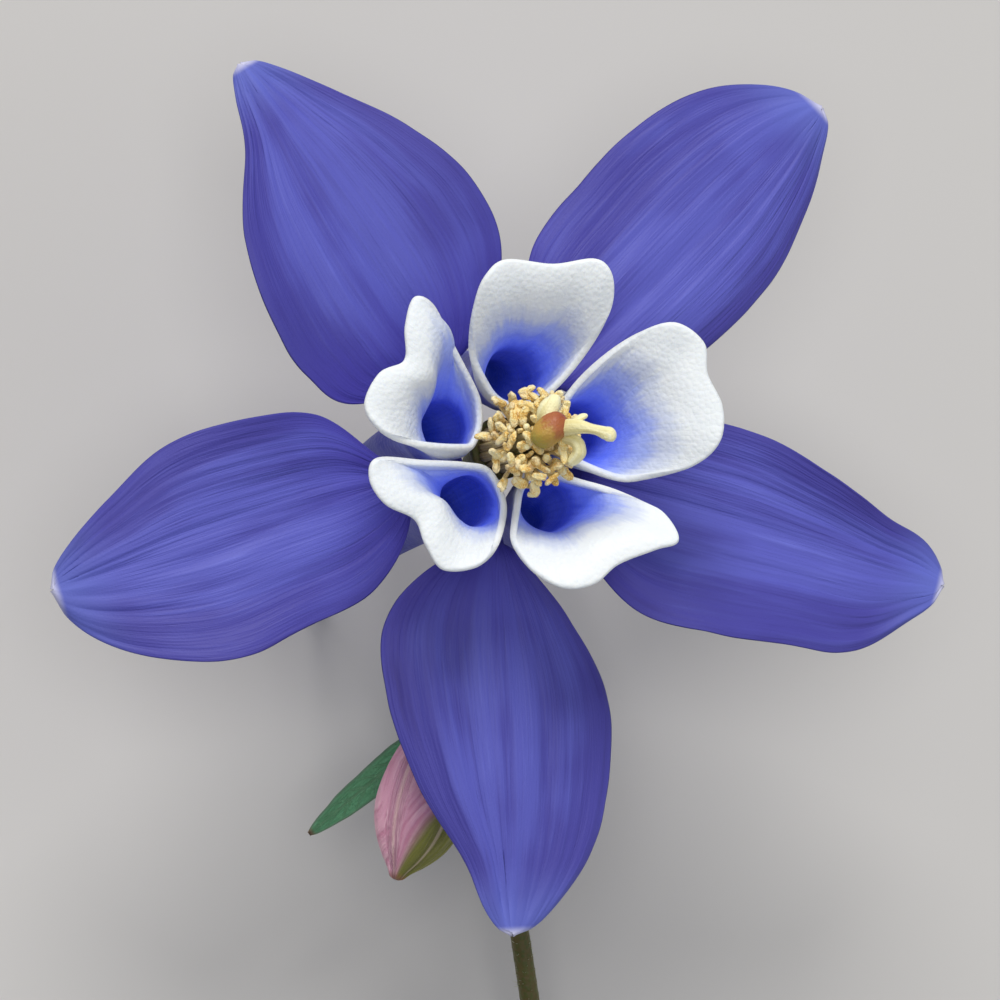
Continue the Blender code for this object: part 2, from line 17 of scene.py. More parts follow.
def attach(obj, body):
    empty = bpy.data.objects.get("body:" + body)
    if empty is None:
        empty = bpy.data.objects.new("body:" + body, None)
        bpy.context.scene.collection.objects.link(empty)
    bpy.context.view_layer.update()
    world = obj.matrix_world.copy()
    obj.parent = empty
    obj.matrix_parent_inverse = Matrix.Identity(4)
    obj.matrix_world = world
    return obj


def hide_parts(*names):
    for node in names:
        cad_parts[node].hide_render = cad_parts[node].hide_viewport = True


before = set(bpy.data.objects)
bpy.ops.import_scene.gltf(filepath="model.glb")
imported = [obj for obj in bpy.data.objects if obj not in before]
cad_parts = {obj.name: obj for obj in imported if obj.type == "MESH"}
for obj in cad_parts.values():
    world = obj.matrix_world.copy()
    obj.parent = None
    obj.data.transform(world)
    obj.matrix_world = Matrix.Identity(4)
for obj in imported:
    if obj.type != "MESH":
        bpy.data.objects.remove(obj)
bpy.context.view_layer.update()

MM = 0.001
print("nodes:", ", ".join(sorted(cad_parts)))

# %% [markdown]
# ## The bloom's middle
#
# All parts of a flower stand round one axis, so they are worked out in the bloom's own frame: its origin
# is on that axis, at the height of the sepals, and the table is below it by the length of the spurs.

# %% The bloom's own frame
BLOOM = Vector((-1.21, 41.8, 38.0)) * MM
FLOOR = -BLOOM.z
UP = np.array([0.0, 0.0, 1.0])
print("bloom's middle:", [round(value, 4) for value in BLOOM])

# %% [markdown]
# ## Curves and gentle noise
#
# Three small functions carry most of the shapes. One draws a smooth curve through a few values, one eases
# from 0 to 1, and one gives soft random waves on a plane. The waves are seeded, so each run grows the
# same flower.

# %% Helpers for shapes


def smooth_through(knots, values, at):
    """A smooth curve through values at knots, as cubic pieces with shared slopes."""
    knots = np.asarray(knots, float)
    values = np.asarray(values, float)
    slopes = np.gradient(values, knots, axis=0)
    at = np.clip(at, knots[0], knots[-1])
    i = np.clip(np.searchsorted(knots, at, side="right") - 1, 0, len(knots) - 2)
    span = knots[i + 1] - knots[i]
    u = (at - knots[i]) / span
    if values.ndim > 1:
        span, u = span[..., None], u[..., None]
    start = (2 * u**3 - 3 * u**2 + 1) * values[i] + (u**3 - 2 * u**2 + u) * span * slopes[i]
    end = (3 * u**2 - 2 * u**3) * values[i + 1] + (u**3 - u**2) * span * slopes[i + 1]
    return start + end


def smoothstep(low, high, x):
    u = np.clip((x - low) / (high - low), 0.0, 1.0)
    return u * u * (3 - 2 * u)


def round_angles(count):
    """Even angles once round a circle."""
    return 2 * math.pi * np.arange(count) / count


def waves(x, y, seed):
    """Soft random waves between -1 and 1, about one swell for each unit of x and y."""
    corners = np.random.default_rng(seed).uniform(-1.0, 1.0, (64, 64))
    i = np.floor(x).astype(int)
    j = np.floor(y).astype(int)
    u = smoothstep(0.0, 1.0, x - i)
    v = smoothstep(0.0, 1.0, y - j)
    low = corners[i % 64, j % 64] * (1 - u) + corners[(i + 1) % 64, j % 64] * u
    high = corners[i % 64, (j + 1) % 64] * (1 - u) + corners[(i + 1) % 64, (j + 1) % 64] * u
    return low * (1 - v) + high * v


def normals_of(grid, round_it=False):
    """Unit normals of a grid of points. With round_it the second direction closes on itself."""
    if round_it:
        across = np.roll(grid, -1, axis=1) - np.roll(grid, 1, axis=1)
    else:
        across = np.gradient(grid, axis=1)
    normals = np.cross(across, np.gradient(grid, axis=0))
    return normals / np.maximum(np.linalg.norm(normals, axis=2), 1e-12)[:, :, None]


def turned_by(points, angle):
    """Points turned about the bloom's axis. The angle is one number or one for each point."""
    x, y, z = np.moveaxis(points, -1, 0)
    return np.stack([x * np.cos(angle) - y * np.sin(angle), x * np.sin(angle) + y * np.cos(angle), z], -1)


print("waves at a few places:", [round(float(waves(x, 0.3, 1)), 2) for x in (0.0, 0.5, 1.0)])

# %% [markdown]
# ## One way to make every organ
#
# Sepals, petals, stalks and anthers are all closed skins, so each is made as a row of rings: the rings are
# joined by squares and both ends are closed. Each vertex also keeps where on the organ it grew, as the
# attribute "grown". The materials read it, so veins and blushes follow the organ and not the world.

# %% From rings to a mesh


def rings_to_faces(rows, count):
    """Squares between rows of rings, and a lid on each end."""
    i = np.arange(rows - 1)[:, None] * count
    j = np.arange(count)[None, :]
    after = (j + 1) % count
    squares = np.stack([i + j, i + after, i + count + after, i + count + j], axis=-1).reshape(-1, 4)
    lids = [list(range(count))[::-1], list(range((rows - 1) * count, rows * count))]
    return squares.tolist() + lids


def placed(name, data):
    """An object in the scene for a mesh, a light or a camera."""
    made = bpy.data.objects.new(name, data)
    bpy.context.scene.collection.objects.link(made)
    return made


def organ(name, skins, own=0.0):
    """A mesh object from closed skins. A skin is its rings, where each point grew, and its side."""
    points, faces, grown, sides = [], [], [], []
    at = 0
    for rings, places, side in skins:
        rows, count = rings.shape[:2]
        points.append(rings.reshape(-1, 3))
        grown.append(places.reshape(-1, 3))
        sides.append(side.reshape(-1))
        faces += [[corner + at for corner in face] for face in rings_to_faces(rows, count)]
        at += rows * count
    mesh = bpy.data.meshes.new(name)
    mesh.from_pydata((np.concatenate(points) + np.array(BLOOM)).tolist(), [], faces)
    layer = mesh.attributes.new("grown", "FLOAT_VECTOR", "POINT")
    layer.data.foreach_set("vector", np.concatenate(grown).astype(np.float32).ravel())
    for label, values in (("side", np.concatenate(sides)), ("own", np.full(at, own))):
        layer = mesh.attributes.new(label, "FLOAT", "POINT")
        layer.data.foreach_set("value", values.astype(np.float32))
    mesh.shade_smooth()
    return placed(name, mesh)


def keep_as(piece, slot, material, *nodes):
    """Rides a piece on the spray, in place of its plain solids, and gives it its finish."""
    piece.data.materials.clear()
    piece.data.materials.append(material)
    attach(piece, "root")
    if nodes:
        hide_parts(*nodes)
    print(f"{piece.name}: {len(piece.data.polygons)} faces")


def tube(path, radii, sides, along=(0.0, 1.0)):
    """A skin round a path, with the same idea of up from ring to ring. It grows along the third axis."""
    path = np.asarray(path, float)
    radii = np.asarray(radii, float)
    ways = np.gradient(path, axis=0)
    ways /= np.linalg.norm(ways, axis=1)[:, None]
    side = np.cross(ways[0], (0.0, 1.0, 0.0) if abs(ways[0][1]) < 0.9 else (1.0, 0.0, 0.0))
    angles = round_angles(sides)
    rings = []
    for point, way, radius in zip(path, ways, radii):
        side = side - way * (side @ way)
        side = side / np.linalg.norm(side)
        other = np.cross(way, side)
        one = np.outer(radius * np.cos(angles), side)
        rings.append(point + one + np.outer(radius * np.sin(angles), other))
    rings = np.array(rings)
    steps = np.linspace(*along, len(path))[:, None] + 0 * angles
    places = np.stack([np.cos(angles) + 0 * steps, np.sin(angles) + 0 * steps, steps], axis=-1)
    return rings, places, np.ones(steps.shape)


def reshaped(skin, path, factor):
    """A tube's skin with each point brought nearer to its path, or further out, by a factor."""
    rings, places, side = skin
    centre = path[:, None, :]
    return centre + (rings - centre) * factor[:, :, None], places, side


def round_sheet(sheet, places, across, half_thickness, power):
    """Rings round a sheet, its under side and then its upper side, that meet in a round margin."""
    rim = np.sqrt(np.clip(1 - np.abs(across) ** power, 0.0, 1.0)) * half_thickness
    lift = -normals_of(sheet) * rim[:, :, None]
    rings = np.concatenate([sheet - lift, (sheet + lift)[:, -2:0:-1]], axis=1)
    return rings, np.concatenate([places, places[:, -2:0:-1]], axis=1)


def laid_along(points, way, base, axis, top):
    """Points that were made along an axis, turned into a direction and moved to its base."""
    turn = np.array(way.to_track_quat(axis, top).to_matrix())
    return points @ turn.T + np.array(base)


# %% [markdown]
# ## Shader effects that several finishes share
#
# Living tissue repeats a few effects. Fine veins run lengthwise, a papery grain covers the surface, and
# broad soft patches keep any colour from being flat. Each is a node group that puts out only values, so
# every material can set its own scale and its own colours. Finishes that differ only in their numbers come
# from one function, graded_finish.

# %% Node helpers


def wire(tree, source, target):
    tree.links.new(source, target)


def node_of(tree, kind, inputs=None, **settings):
    """A node with its settings, and its inputs as numbers or as sockets of other nodes."""
    made = tree.nodes.new(kind)
    for key, value in settings.items():
        setattr(made, key, value)
    for key, value in (inputs or {}).items():
        if isinstance(value, bpy.types.NodeSocket):
            wire(tree, value, made.inputs[key])
        else:
            made.inputs[key].default_value = value
    return made


def math_of(tree, operation, first, second=0.0, clamp=False):
    made = node_of(tree, "ShaderNodeMath", {0: first, 1: second}, operation=operation, use_clamp=clamp)
    return made.outputs[0]


def times(tree, first, second):
    return math_of(tree, "MULTIPLY", first, second)


def rest_of(tree, value):
    """One minus a value."""
    return math_of(tree, "SUBTRACT", 1.0, value)


def weighted(tree, *terms, start=None, clamp=False):
    """A sum of values times their weights, on top of a start. A weight of 1 needs no node."""
    total = start
    for i, (value, weight) in enumerate(terms):
        part = value if weight == 1 else times(tree, value, weight)
        last = i == len(terms) - 1
        total = part if total is None else math_of(tree, "ADD", total, part, clamp and last)
    return total


def eased(tree, value, low, high):
    """0 below low, 1 above high and smooth between."""
    return node_of(
        tree, "ShaderNodeMapRange", {"Value": value, "From Min": low, "From Max": high},
        interpolation_type="SMOOTHSTEP").outputs["Result"]


def colours_along(tree, value, stops):
    """A colour ramp with its stops as place and colour."""
    ramp = node_of(tree, "ShaderNodeValToRGB", {"Fac": value})
    ramp.color_ramp.interpolation = "EASE"
    band = ramp.color_ramp.elements
    while len(band) < len(stops):
        band.new(0.5)
    for element, (place, colour) in zip(band, stops):
        element.position = place
        element.color = (*colour, 1.0)
    return ramp.outputs["Color"]


def blended(tree, share, first, second, most=None):
    """One colour passing into another by a share, or by that share of the most there may be."""
    share = share if most is None else times(tree, share, most)
    made = node_of(tree, "ShaderNodeMix", {"Factor": share}, data_type="RGBA")
    for key, value in (("A", first), ("B", second)):
        socket = [s for s in made.inputs if s.name == key and s.type == "RGBA"][0]
        if isinstance(value, bpy.types.NodeSocket):
            wire(tree, value, socket)
        else:
            socket.default_value = (*value, 1.0)
    return [s for s in made.outputs if s.type == "RGBA"][0]


def new_group(name, inputs, outputs):
    """An empty node group with float inputs and outputs."""
    group = bpy.data.node_groups.new(name, "ShaderNodeTree")
    for label, value in inputs.items():
        socket = group.interface.new_socket(label, in_out="INPUT", socket_type="NodeSocketFloat")
        socket.default_value = value
    for label in outputs:
        group.interface.new_socket(label, in_out="OUTPUT", socket_type="NodeSocketFloat")
    return group, group.nodes.new("NodeGroupInput").outputs, group.nodes.new("NodeGroupOutput").inputs


# %% [markdown]
# Veins are streaks: a noise that is squeezed across the organ and stretched along it. The group takes how
# many streaks fit across and along, and a number of the organ's own, so that no two organs are alike.

# %% The groups for veins, grain and patches
STREAKS_APART = 17.3


def make_veins():
    inputs = {"Across": 10.0, "Along": 2.0, "Detail": 2.0}
    group, given, wanted = new_group("lengthwise_veins", inputs, ("Streak",))
    grown = node_of(group, "ShaderNodeAttribute", attribute_name="grown").outputs["Vector"]
    own = node_of(group, "ShaderNodeAttribute", attribute_name="own").outputs["Fac"]
    scales = {"X": given["Across"], "Y": given["Across"], "Z": given["Along"]}
    scale = node_of(group, "ShaderNodeCombineXYZ", scales).outputs[0]
    spread = node_of(group, "ShaderNodeVectorMath", {0: grown, 1: scale}, operation="MULTIPLY").outputs[0]
    apart = times(group, own, STREAKS_APART)
    moved = node_of(group, "ShaderNodeVectorMath", {0: spread, 1: apart}, operation="ADD").outputs[0]
    looks = {"Vector": moved, "Scale": 1.0, "Detail": given["Detail"], "Roughness": 0.55}
    noise = node_of(group, "ShaderNodeTexNoise", looks).outputs["Fac"]
    wire(group, eased(group, noise, 0.28, 0.72), wanted["Streak"])
    return group


def where_and_scale(group, given):
    """The place on the object, and the scale that gives a texture its size in metres."""
    where = node_of(group, "ShaderNodeTexCoord").outputs["Object"]
    return {"Vector": where, "Scale": math_of(group, "DIVIDE", 1.0, given["Size"])}


def make_grain():
    group, given, wanted = new_group("papery_grain", {"Size": 0.0003}, ("Height", "Pores"))
    inputs = where_and_scale(group, given)
    looks = {**inputs, "Detail": 3.0, "Roughness": 0.6}
    noise = node_of(group, "ShaderNodeTexNoise", looks).outputs["Fac"]
    cells = node_of(group, "ShaderNodeTexVoronoi", inputs, feature="F1").outputs["Distance"]
    wire(group, math_of(group, "SUBTRACT", noise, cells), wanted["Height"])
    wire(group, eased(group, cells, 0.2, 0.7), wanted["Pores"])
    return group


def make_patches():
    group, given, wanted = new_group("soft_patches", {"Size": 0.008}, ("Patch",))
    looks = {**where_and_scale(group, given), "Detail": 1.0}
    noise = node_of(group, "ShaderNodeTexNoise", looks).outputs["Fac"]
    wire(group, eased(group, noise, 0.3, 0.7), wanted["Patch"])
    return group


GROUPS = {"veins": make_veins(), "grain": make_grain(), "patches": make_patches()}


def effect(tree, name, **inputs):
    """The outputs of one of the shared groups, placed in a material with its own values."""
    made = tree.nodes.new("ShaderNodeGroup")
    made.node_tree = GROUPS[name]
    for key, value in inputs.items():
        made.inputs[key.capitalize()].default_value = value
    return made.outputs


def new_finish(name, roughness, specular=0.35, sheen=0.0, sheen_tint=(1.0, 1.0, 1.0)):
    """A material with a Principled shader, its node tree and that shader."""
    material = bpy.data.materials.new(name)
    material.use_nodes = True
    shader = material.node_tree.nodes["Principled BSDF"]
    shader.inputs["Roughness"].default_value = roughness
    shader.inputs["Specular IOR Level"].default_value = specular
    shader.inputs["Sheen Weight"].default_value = sheen
    shader.inputs["Sheen Roughness"].default_value = 0.45
    shader.inputs["Sheen Tint"].default_value = (*sheen_tint, 1.0)
    return material, material.node_tree, shader


def finish_with(tree, shader, colour, height, depth):
    """Gives a shader its colour, and small relief from a height, as deep as depth in metres."""
    wire(tree, colour, shader.inputs["Base Color"])
    bump = node_of(tree, "ShaderNodeBump", {"Strength": 1.0, "Distance": depth, "Height": height})
    wire(tree, bump.outputs["Normal"], shader.inputs["Normal"])


def where_grown(tree):
    """Across, second and along from the attribute grown, and the side of the organ."""
    grown = node_of(tree, "ShaderNodeAttribute", attribute_name="grown").outputs["Vector"]
    parts = node_of(tree, "ShaderNodeSeparateXYZ", {"Vector": grown}).outputs
    side = node_of(tree, "ShaderNodeAttribute", attribute_name="side").outputs["Fac"]
    return parts["X"], parts["Y"], parts["Z"], side


def graded_finish(look, veins, weights, stops, grain, depth):
    """A finish whose colours run along the organ, loosened by streaks and covered in grain."""
    material, tree, shader = new_finish(*look)
    along = where_grown(tree)[2]
    streaks = effect(tree, "veins", **veins)["Streak"]
    tone = weighted(tree, (along, weights[0]), (streaks, weights[1]), clamp=True)
    height = effect(tree, "grain", size=grain)["Height"]
    finish_with(tree, shader, colours_along(tree, tone, stops), height, depth)
    return material


print("shared effects:", ", ".join(group.name for group in GROUPS.values()))

# %% [markdown]
# ## Blue-violet sepals
#
# The five sepals are the large blue outer leaves. Their colour lives in fine streaks that fan out from the
# claw: brighter along the soft folds, darker at the base, and pale at the very tip. The margins are darkened
# and the middle lightened as painted shade, as if the sides curved away from the light. The surface has a
# faint velvet sheen, so the material uses the shader's sheen with a bluish tint.

# %% The sepals' finish


def sepal_finish():
    material, tree, shader = new_finish("blue_violet_sepal", 0.5, 0.25, 0.06, (0.55, 0.6, 1.0))
    across, _, along, _ = where_grown(tree)
    broad = effect(tree, "veins", across=3.2, along=1.6, detail=1.0)["Streak"]
    fine = effect(tree, "veins", across=15.0, along=2.6, detail=3.0)["Streak"]
    hair = effect(tree, "veins", across=42.0, along=4.0, detail=2.0)["Streak"]
    patch = effect(tree, "patches", size=0.006)["Patch"]
    grain = effect(tree, "grain", size=0.00022)["Height"]
    # Painted shade: lighter in the middle of the sepal and darker towards its margins, as if the sides
    # curved away from the light.
    middle = rest_of(tree, eased(tree, math_of(tree, "ABSOLUTE", across), 0.25, 1.05))
    inland = rest_of(tree, eased(tree, along, 0.74, 0.97))
    stripes = weighted(tree, (fine, 0.10), (hair, 0.08))
    tone = weighted(
        tree, (broad, 0.24), (patch, 0.09), (stripes, inland), (middle, 0.27), start=0.03, clamp=True)
    violet = colours_along(tree, tone, (
        (0.0, (0.040, 0.030, 0.22)), (0.3, (0.068, 0.062, 0.35)),
        (0.62, (0.105, 0.112, 0.50)), (1.0, (0.21, 0.24, 0.80))))
    base = rest_of(tree, eased(tree, along, 0.0, 0.34))
    violet = blended(tree, base, violet, (0.06, 0.045, 0.36), most=0.7)
    violet = blended(tree, eased(tree, along, 0.80, 1.0), violet, (0.17, 0.23, 0.72), most=0.45)
    violet = blended(tree, eased(tree, along, 0.975, 1.0), violet, (0.60, 0.60, 0.80))
    ridges = times(tree, weighted(tree, (fine, 1), (hair, 0.5)), inland)
    finish_with(tree, shader, violet, weighted(tree, (ridges, 1), (grain, 0.22)), 0.00005)
    return material


SEPAL_FINISH = sepal_finish()
print("finish:", SEPAL_FINISH.name)

# %% [markdown]
# A sepal could be a flat cut-out with a bump map, but its soft folds catch the light and show from the
# side, so they are real geometry here. The outline keeps the solid's widths. Lengthwise folds in three
# sizes are added to the height, and the margin gets a fine uneven wave.

# %% The sepals' shapes
CLAW_START = 2.45 * MM
CLAW_HALF_WIDTH = 0.65 * MM
CLAW_DEPTH = 3.0 * MM
BLADE_START = 8.5 * MM
TIP_HALF_WIDTH = 0.4 * MM
WIDTH_STATIONS = (0.06, 0.2, 0.4, 0.6, 0.8, 0.93)
SEPAL_HALF_THICKNESS = 0.26 * MM
SEPAL_MARGIN_POWER = 2.5
SEPAL_MARGIN_WAVE = 0.06 * MM
# The folds' height in millimetres, how many there are across and along, where they start and their seed.
SEPAL_FOLDS = ((0.30, 3.2, 2.2, 5, 0), (0.12, 8.0, 3.5, 9, 10), (0.055, 19.0, 5.0, 2, 20))
SEPAL_KEEL_HEIGHT, SEPAL_KEEL_WIDTH = -0.25, 0.09
SEPALS = {
    "sepal_1": dict(
        turn=124.7, length=41.4, arch=1.4, cup=1.2, wave=0.3,
        left=(8.5, 11.1, 11.1, 9.2, 4.4, 2.2), right=(6.5, 10.5, 11.3, 9.4, 5.7, 2.9)),
    "sepal_2": dict(
        turn=46.0, length=44.8, arch=1.0, cup=-1.6, wave=0.3,
        left=(6.0, 10.1, 11.2, 11.2, 9.2, 5.5), right=(4.0, 6.6, 7.9, 7.8, 5.5, 2.9)),
    "sepal_3": dict(
        turn=-15.2, length=44.2, arch=1.2, cup=1.6, wave=0.4,
        left=(4.5, 7.4, 8.0, 6.5, 4.3, 3.3), right=(6.5, 10.5, 10.8, 9.8, 8.4, 4.2)),
    "sepal_4": dict(
        turn=-87.9, length=43.5, arch=1.0, cup=-1.4, wave=0.25,
        left=(2.8, 6.7, 9.9, 9.6, 7.6, 4.2), right=(6.6, 10.7, 10.6, 8.3, 4.3, 2.6)),
    "sepal_5": dict(
        turn=198.1, length=42.3, arch=1.6, cup=1.0, wave=0.6,
        left=(5.2, 8.8, 9.9, 10.7, 8.5, 5.3), right=(2.6, 7.8, 9.3, 9.2, 6.0, 3.3)),
}


def sepal_sheet(along, across, shape, seed):
    """The middle sheet of a sepal in its own frame, +X from the axis to the tip."""
    length = shape["length"] * MM
    share = np.clip((along - BLADE_START) / (length - BLADE_START), 0.0, 1.0)
    knots = (0.0, *WIDTH_STATIONS, 1.0)
    sides = []
    for side in ("right", "left"):
        widths = np.array([CLAW_HALF_WIDTH, *(w * MM for w in shape[side]), TIP_HALF_WIDTH])
        squared = smooth_through(knots, widths**2, share)
        sides.append(np.sqrt(np.maximum(squared, TIP_HALF_WIDTH**2)))
    width = np.where(across < 0, sides[0], sides[1])
    width = width * np.sqrt(np.clip(1 - smoothstep(0.985, 1.001, share), 0.02, 1.0))
    settle = smoothstep(0.0, 0.14, share)
    uneven = waves(share * 15 + 3, np.sign(across) * 2 + 9.5, seed + 40) * SEPAL_MARGIN_WAVE
    reach = across * (width + settle * (1 - share**6) * uneven * np.abs(across) ** 3)
    height = -CLAW_DEPTH * (1 - smoothstep(4.0 * MM, 10.0 * MM, along))
    height = height + shape["arch"] * MM * np.sin(math.pi * share)
    height = height + shape["cup"] * MM * settle * across**2 * np.sin(math.pi * share**0.8)
    ripple = np.sin(9.0 * share + 2.0 * np.sign(across)) * np.abs(across) ** 3
    height = height + shape["wave"] * MM * settle * ripple
    folds = sum(
        high * waves(across * wide + 20, share * long + start, seed + more)
        for high, wide, long, start, more in SEPAL_FOLDS)
    keel = SEPAL_KEEL_HEIGHT * np.exp(-((across / SEPAL_KEEL_WIDTH) ** 2)) * (1 - share)
    fade = settle * (1 - smoothstep(0.9, 1.0, share))
    return np.stack([along, reach, height + (folds + keel) * MM * fade], axis=-1), share


def sepal(name, shape, seed):
    """One sepal: an upper and an under skin that meet in a round margin."""
    length = shape["length"] * MM
    claw = np.linspace(CLAW_START, BLADE_START, 14)[:-1]
    even = np.linspace(0.0, 1.0, 116)
    spread = 0.5 * ((1 - np.cos(math.pi * even)) / 2) + 0.5 * even
    rows = np.concatenate([claw, BLADE_START + (length - BLADE_START) * spread])
    even = np.linspace(-1.0, 1.0, 105)
    columns = 0.6 * even + 0.4 * np.sin(even * math.pi / 2)
    along, across = np.meshgrid(rows, columns, indexing="ij")
    sheet, share = sepal_sheet(along, across, shape, seed)
    places = np.stack([across, 0 * across, share], axis=-1)
    rings, places = round_sheet(sheet, places, across, SEPAL_HALF_THICKNESS, SEPAL_MARGIN_POWER)
    side = np.ones(rings.shape[:2])
    side[:, :len(columns)] = -1.0
    rings = turned_by(rings, math.radians(shape["turn"]))
    return organ(name, [(rings, places, side)], own=seed / 10)


for index, (name, shape) in enumerate(SEPALS.items()):
    keep_as(sepal(name + "_fine", shape, 3 + index), "sepal", SEPAL_FINISH, name)

# %% [markdown]
# ## White petals with a blue throat
#
# Each petal is a funnel that opens in a white blade and runs down into a spur. The colour goes with depth:
# navy at the bottom of the throat, then clear blue, periwinkle and white. The behind of the funnel is
# white too, and it turns blue towards the spur. The tissue is thick and finely pebbled. Daylight passes
# through the thin wall of a real throat, and a faint blue emission inside stands for that light.

# %% The petals' finish


def petal_finish():
    material, tree, shader = new_finish("white_petal", 0.5, 0.3, 0.05)
    _, _, along, side = where_grown(tree)
    streaks = effect(tree, "veins", across=5.0, along=2.5, detail=2.0)["Streak"]
    fine = effect(tree, "veins", across=16.0, along=3.0, detail=2.0)["Streak"]
    loose, looser = (math_of(tree, "SUBTRACT", value, 0.5) for value in (streaks, fine))
    depth = weighted(tree, (along, 1), (loose, 0.045), (looser, 0.022), clamp=True)
    face = colours_along(tree, depth, (
        (0.0, (0.03, 0.07, 0.60)), (0.20, (0.04, 0.085, 0.64)), (0.32, (0.07, 0.12, 0.66)),
        (0.44, (0.16, 0.22, 0.72)), (0.56, (0.35, 0.43, 0.82)), (0.68, (0.66, 0.72, 0.88)),
        (0.80, (0.86, 0.905, 0.94)), (1.0, (0.90, 0.945, 0.965))))
    behind = colours_along(tree, depth, (
        (0.0, (0.05, 0.06, 0.42)), (0.18, (0.07, 0.10, 0.60)), (0.34, (0.16, 0.22, 0.74)),
        (0.50, (0.52, 0.58, 0.84)), (0.64, (0.78, 0.81, 0.84)), (1.0, (0.86, 0.88, 0.87))))
    colour = blended(tree, eased(tree, side, -0.4, 0.4), behind, face)
    patch = effect(tree, "patches", size=0.004)["Patch"]
    colour = blended(tree, patch, colour, (0.70, 0.76, 0.80), most=0.10)
    glow = colours_along(tree, depth, (
        (0.0, (0.0, 0.002, 0.02)), (0.18, (0.008, 0.014, 0.09)), (0.36, (0.035, 0.052, 0.23)),
        (0.52, (0.022, 0.03, 0.10)), (0.66, (0.0, 0.0, 0.0))))
    glow = blended(tree, eased(tree, side, 0.0, 0.8), (0.0, 0.0, 0.0), glow)
    wire(tree, glow, shader.inputs["Emission Color"])
    shader.inputs["Emission Strength"].default_value = 1.0
    # The glow is too faint to light anything else, so it isn't sampled as a lamp. That saves time.
    material.cycles.emission_sampling = "NONE"
    pebbles = effect(tree, "grain", size=0.00045)["Height"]
    finish_with(tree, shader, colour, weighted(tree, (pebbles, 1), (fine, 0.25)), 0.00005)
    shader.inputs["Subsurface Weight"].default_value = 0.12
    shader.inputs["Subsurface Radius"].default_value = (0.6, 0.7, 1.0)
    shader.inputs["Subsurface Scale"].default_value = 0.0012
    return material


PETAL_FINISH = petal_finish()
print("finish:", PETAL_FINISH.name)

# %% [markdown]
# A petal is one loft. Its rings climb the outside from the knob of the spur to the free edge, go round the
# thick rim and come down the inside. Every ring above the throat is a share of the way along smooth curves
# that start upright on the throat and end with the flare of the free edge. Where two petals meet they press
# against each other, so a soft limit at the middle line between them turns their margins into ridges.

# %% The petals' shapes
PETAL_WALL = 0.6 * MM
THROAT_HEIGHT = 2.0 * MM
THROAT_RADIUS = 3.0 * MM
THROAT_FROM_AXIS = 6.3 * MM
LEAN_HEIGHTS = (5.0 * MM, 12.0 * MM)
SWING_HEIGHTS = (-22.0 * MM, 0.0)
BORE_FLOOR = -9.0 * MM
GAP = 0.3 * MM
PRESS = 0.35 * MM
SPUR = tuple(
    (a * MM, b * MM, c * MM)
    for a, b, c in (
        (6.5, -1.5, 2.45), (7.2, -5.0, 2.0), (8.1, -9.0, 1.65), (9.4, -15.0, 1.25), (11.0, -22.0, 1.0),
        (12.6, -30.0, 0.85), (13.3, -34.8, 0.85), (13.5, -35.9, 1.1), (13.5, -37.0, 1.1), (13.5, -37.7, 0.9),
    )
)
KNOB_FLAT_RADIUS = 0.65 * MM
# The free edge is given at these angles round the throat, and once more at its back, nearest the axis.
EDGE_TURNS = (26.0, 50.0, 78.0, 106.0, 142.0)
EDGE_BACK_HEIGHT, EDGE_BACK_FLARE = 7.6, -4.0
EDGE_SHOULDER_HEIGHT = 12.4
EDGE_SIDE_HEIGHTS = (10.2, 8.5)
EDGE_SIDE_FLARES = (58.0, 40.0, 15.0)
# Directions of the throat, the blade, the knob and the border to the next petal in degrees. Then how
# straight the throat rises, how far the edge rolls over, where blue ends and the side it reaches up. At
# last the free edge in millimetres from the axis: its middle, its back, and how far out and aside it is.
PETALS = {
    "petal_1": dict(
        throat=87, blade=84.8, spur=87, border=125.5, height=14.2, flare=78, rise=1.3, roll=1.0,
        blue=0.60, blue_side=-20, middle=15.1, back=(2.95, 0.4),
        left=((14.95, 4.3), (13.4, 5.9), (10.7, 6.3), (7.9, 5.95), (4.9, 5.0)),
        right=((16.0, 3.6), (15.1, 5.2), (12.1, 6.0), (8.5, 5.2), (5.3, 3.4))),
    "petal_2": dict(
        throat=167, blade=150, spur=190, border=184.5, height=12.4, flare=98, rise=1.6, roll=1.12,
        blue=0.62, blue_side=35, middle=13.0, back=(3.5, 0.4),
        left=((14.4, 2.3), (14.2, 5.1), (11.9, 6.5), (7.3, 6.0), (3.8, 4.2)),
        right=((14.5, 2.6), (15.1, 5.0), (13.3, 5.9), (9.9, 4.6), (6.5, 3.1))),
    "petal_3": dict(
        throat=232, blade=214.5, spur=234, border=256, height=11.8, flare=98, rise=1.7, roll=1.15,
        blue=0.62, blue_side=25, middle=12.4, back=(3.3, 0.8),
        left=((12.9, 2.4), (12.9, 4.8), (10.3, 6.5), (7.0, 6.4), (4.4, 4.8)),
        right=((13.9, 2.6), (13.9, 4.9), (12.3, 6.3), (8.8, 3.9), (5.3, 1.5))),
    "petal_4": dict(
        throat=303, blade=304, spur=306, border=337, height=14.0, flare=84, rise=1.55, roll=1.1,
        blue=0.60, blue_side=-10, middle=13.0, back=(2.95, 0.0),
        left=((13.8, 3.4), (14.4, 5.5), (11.8, 6.3), (8.8, 5.3), (6.1, 3.3)),
        right=((13.2, 2.8), (12.2, 5.1), (9.6, 6.4), (6.6, 6.1), (4.1, 4.2))),
    "petal_5": dict(
        throat=13, blade=20.8, spur=15, border=52, height=14.0, flare=78, rise=1.3, roll=1.0,
        blue=0.62, blue_side=10, middle=16.5, back=(2.95, -0.3),
        left=((17.1, 2.7), (15.5, 5.1), (12.3, 5.5), (8.5, 4.5), (5.8, 3.0)),
        right=((16.7, 3.1), (15.6, 5.7), (12.9, 7.1), (9.1, 6.9), (5.5, 5.6))),
}
PETAL_AROUND = 132
BLADE_STEPS = 46
SPUR_STEPS = 44
RIM_STEPS = 5
RIM_SWELL = 0.06
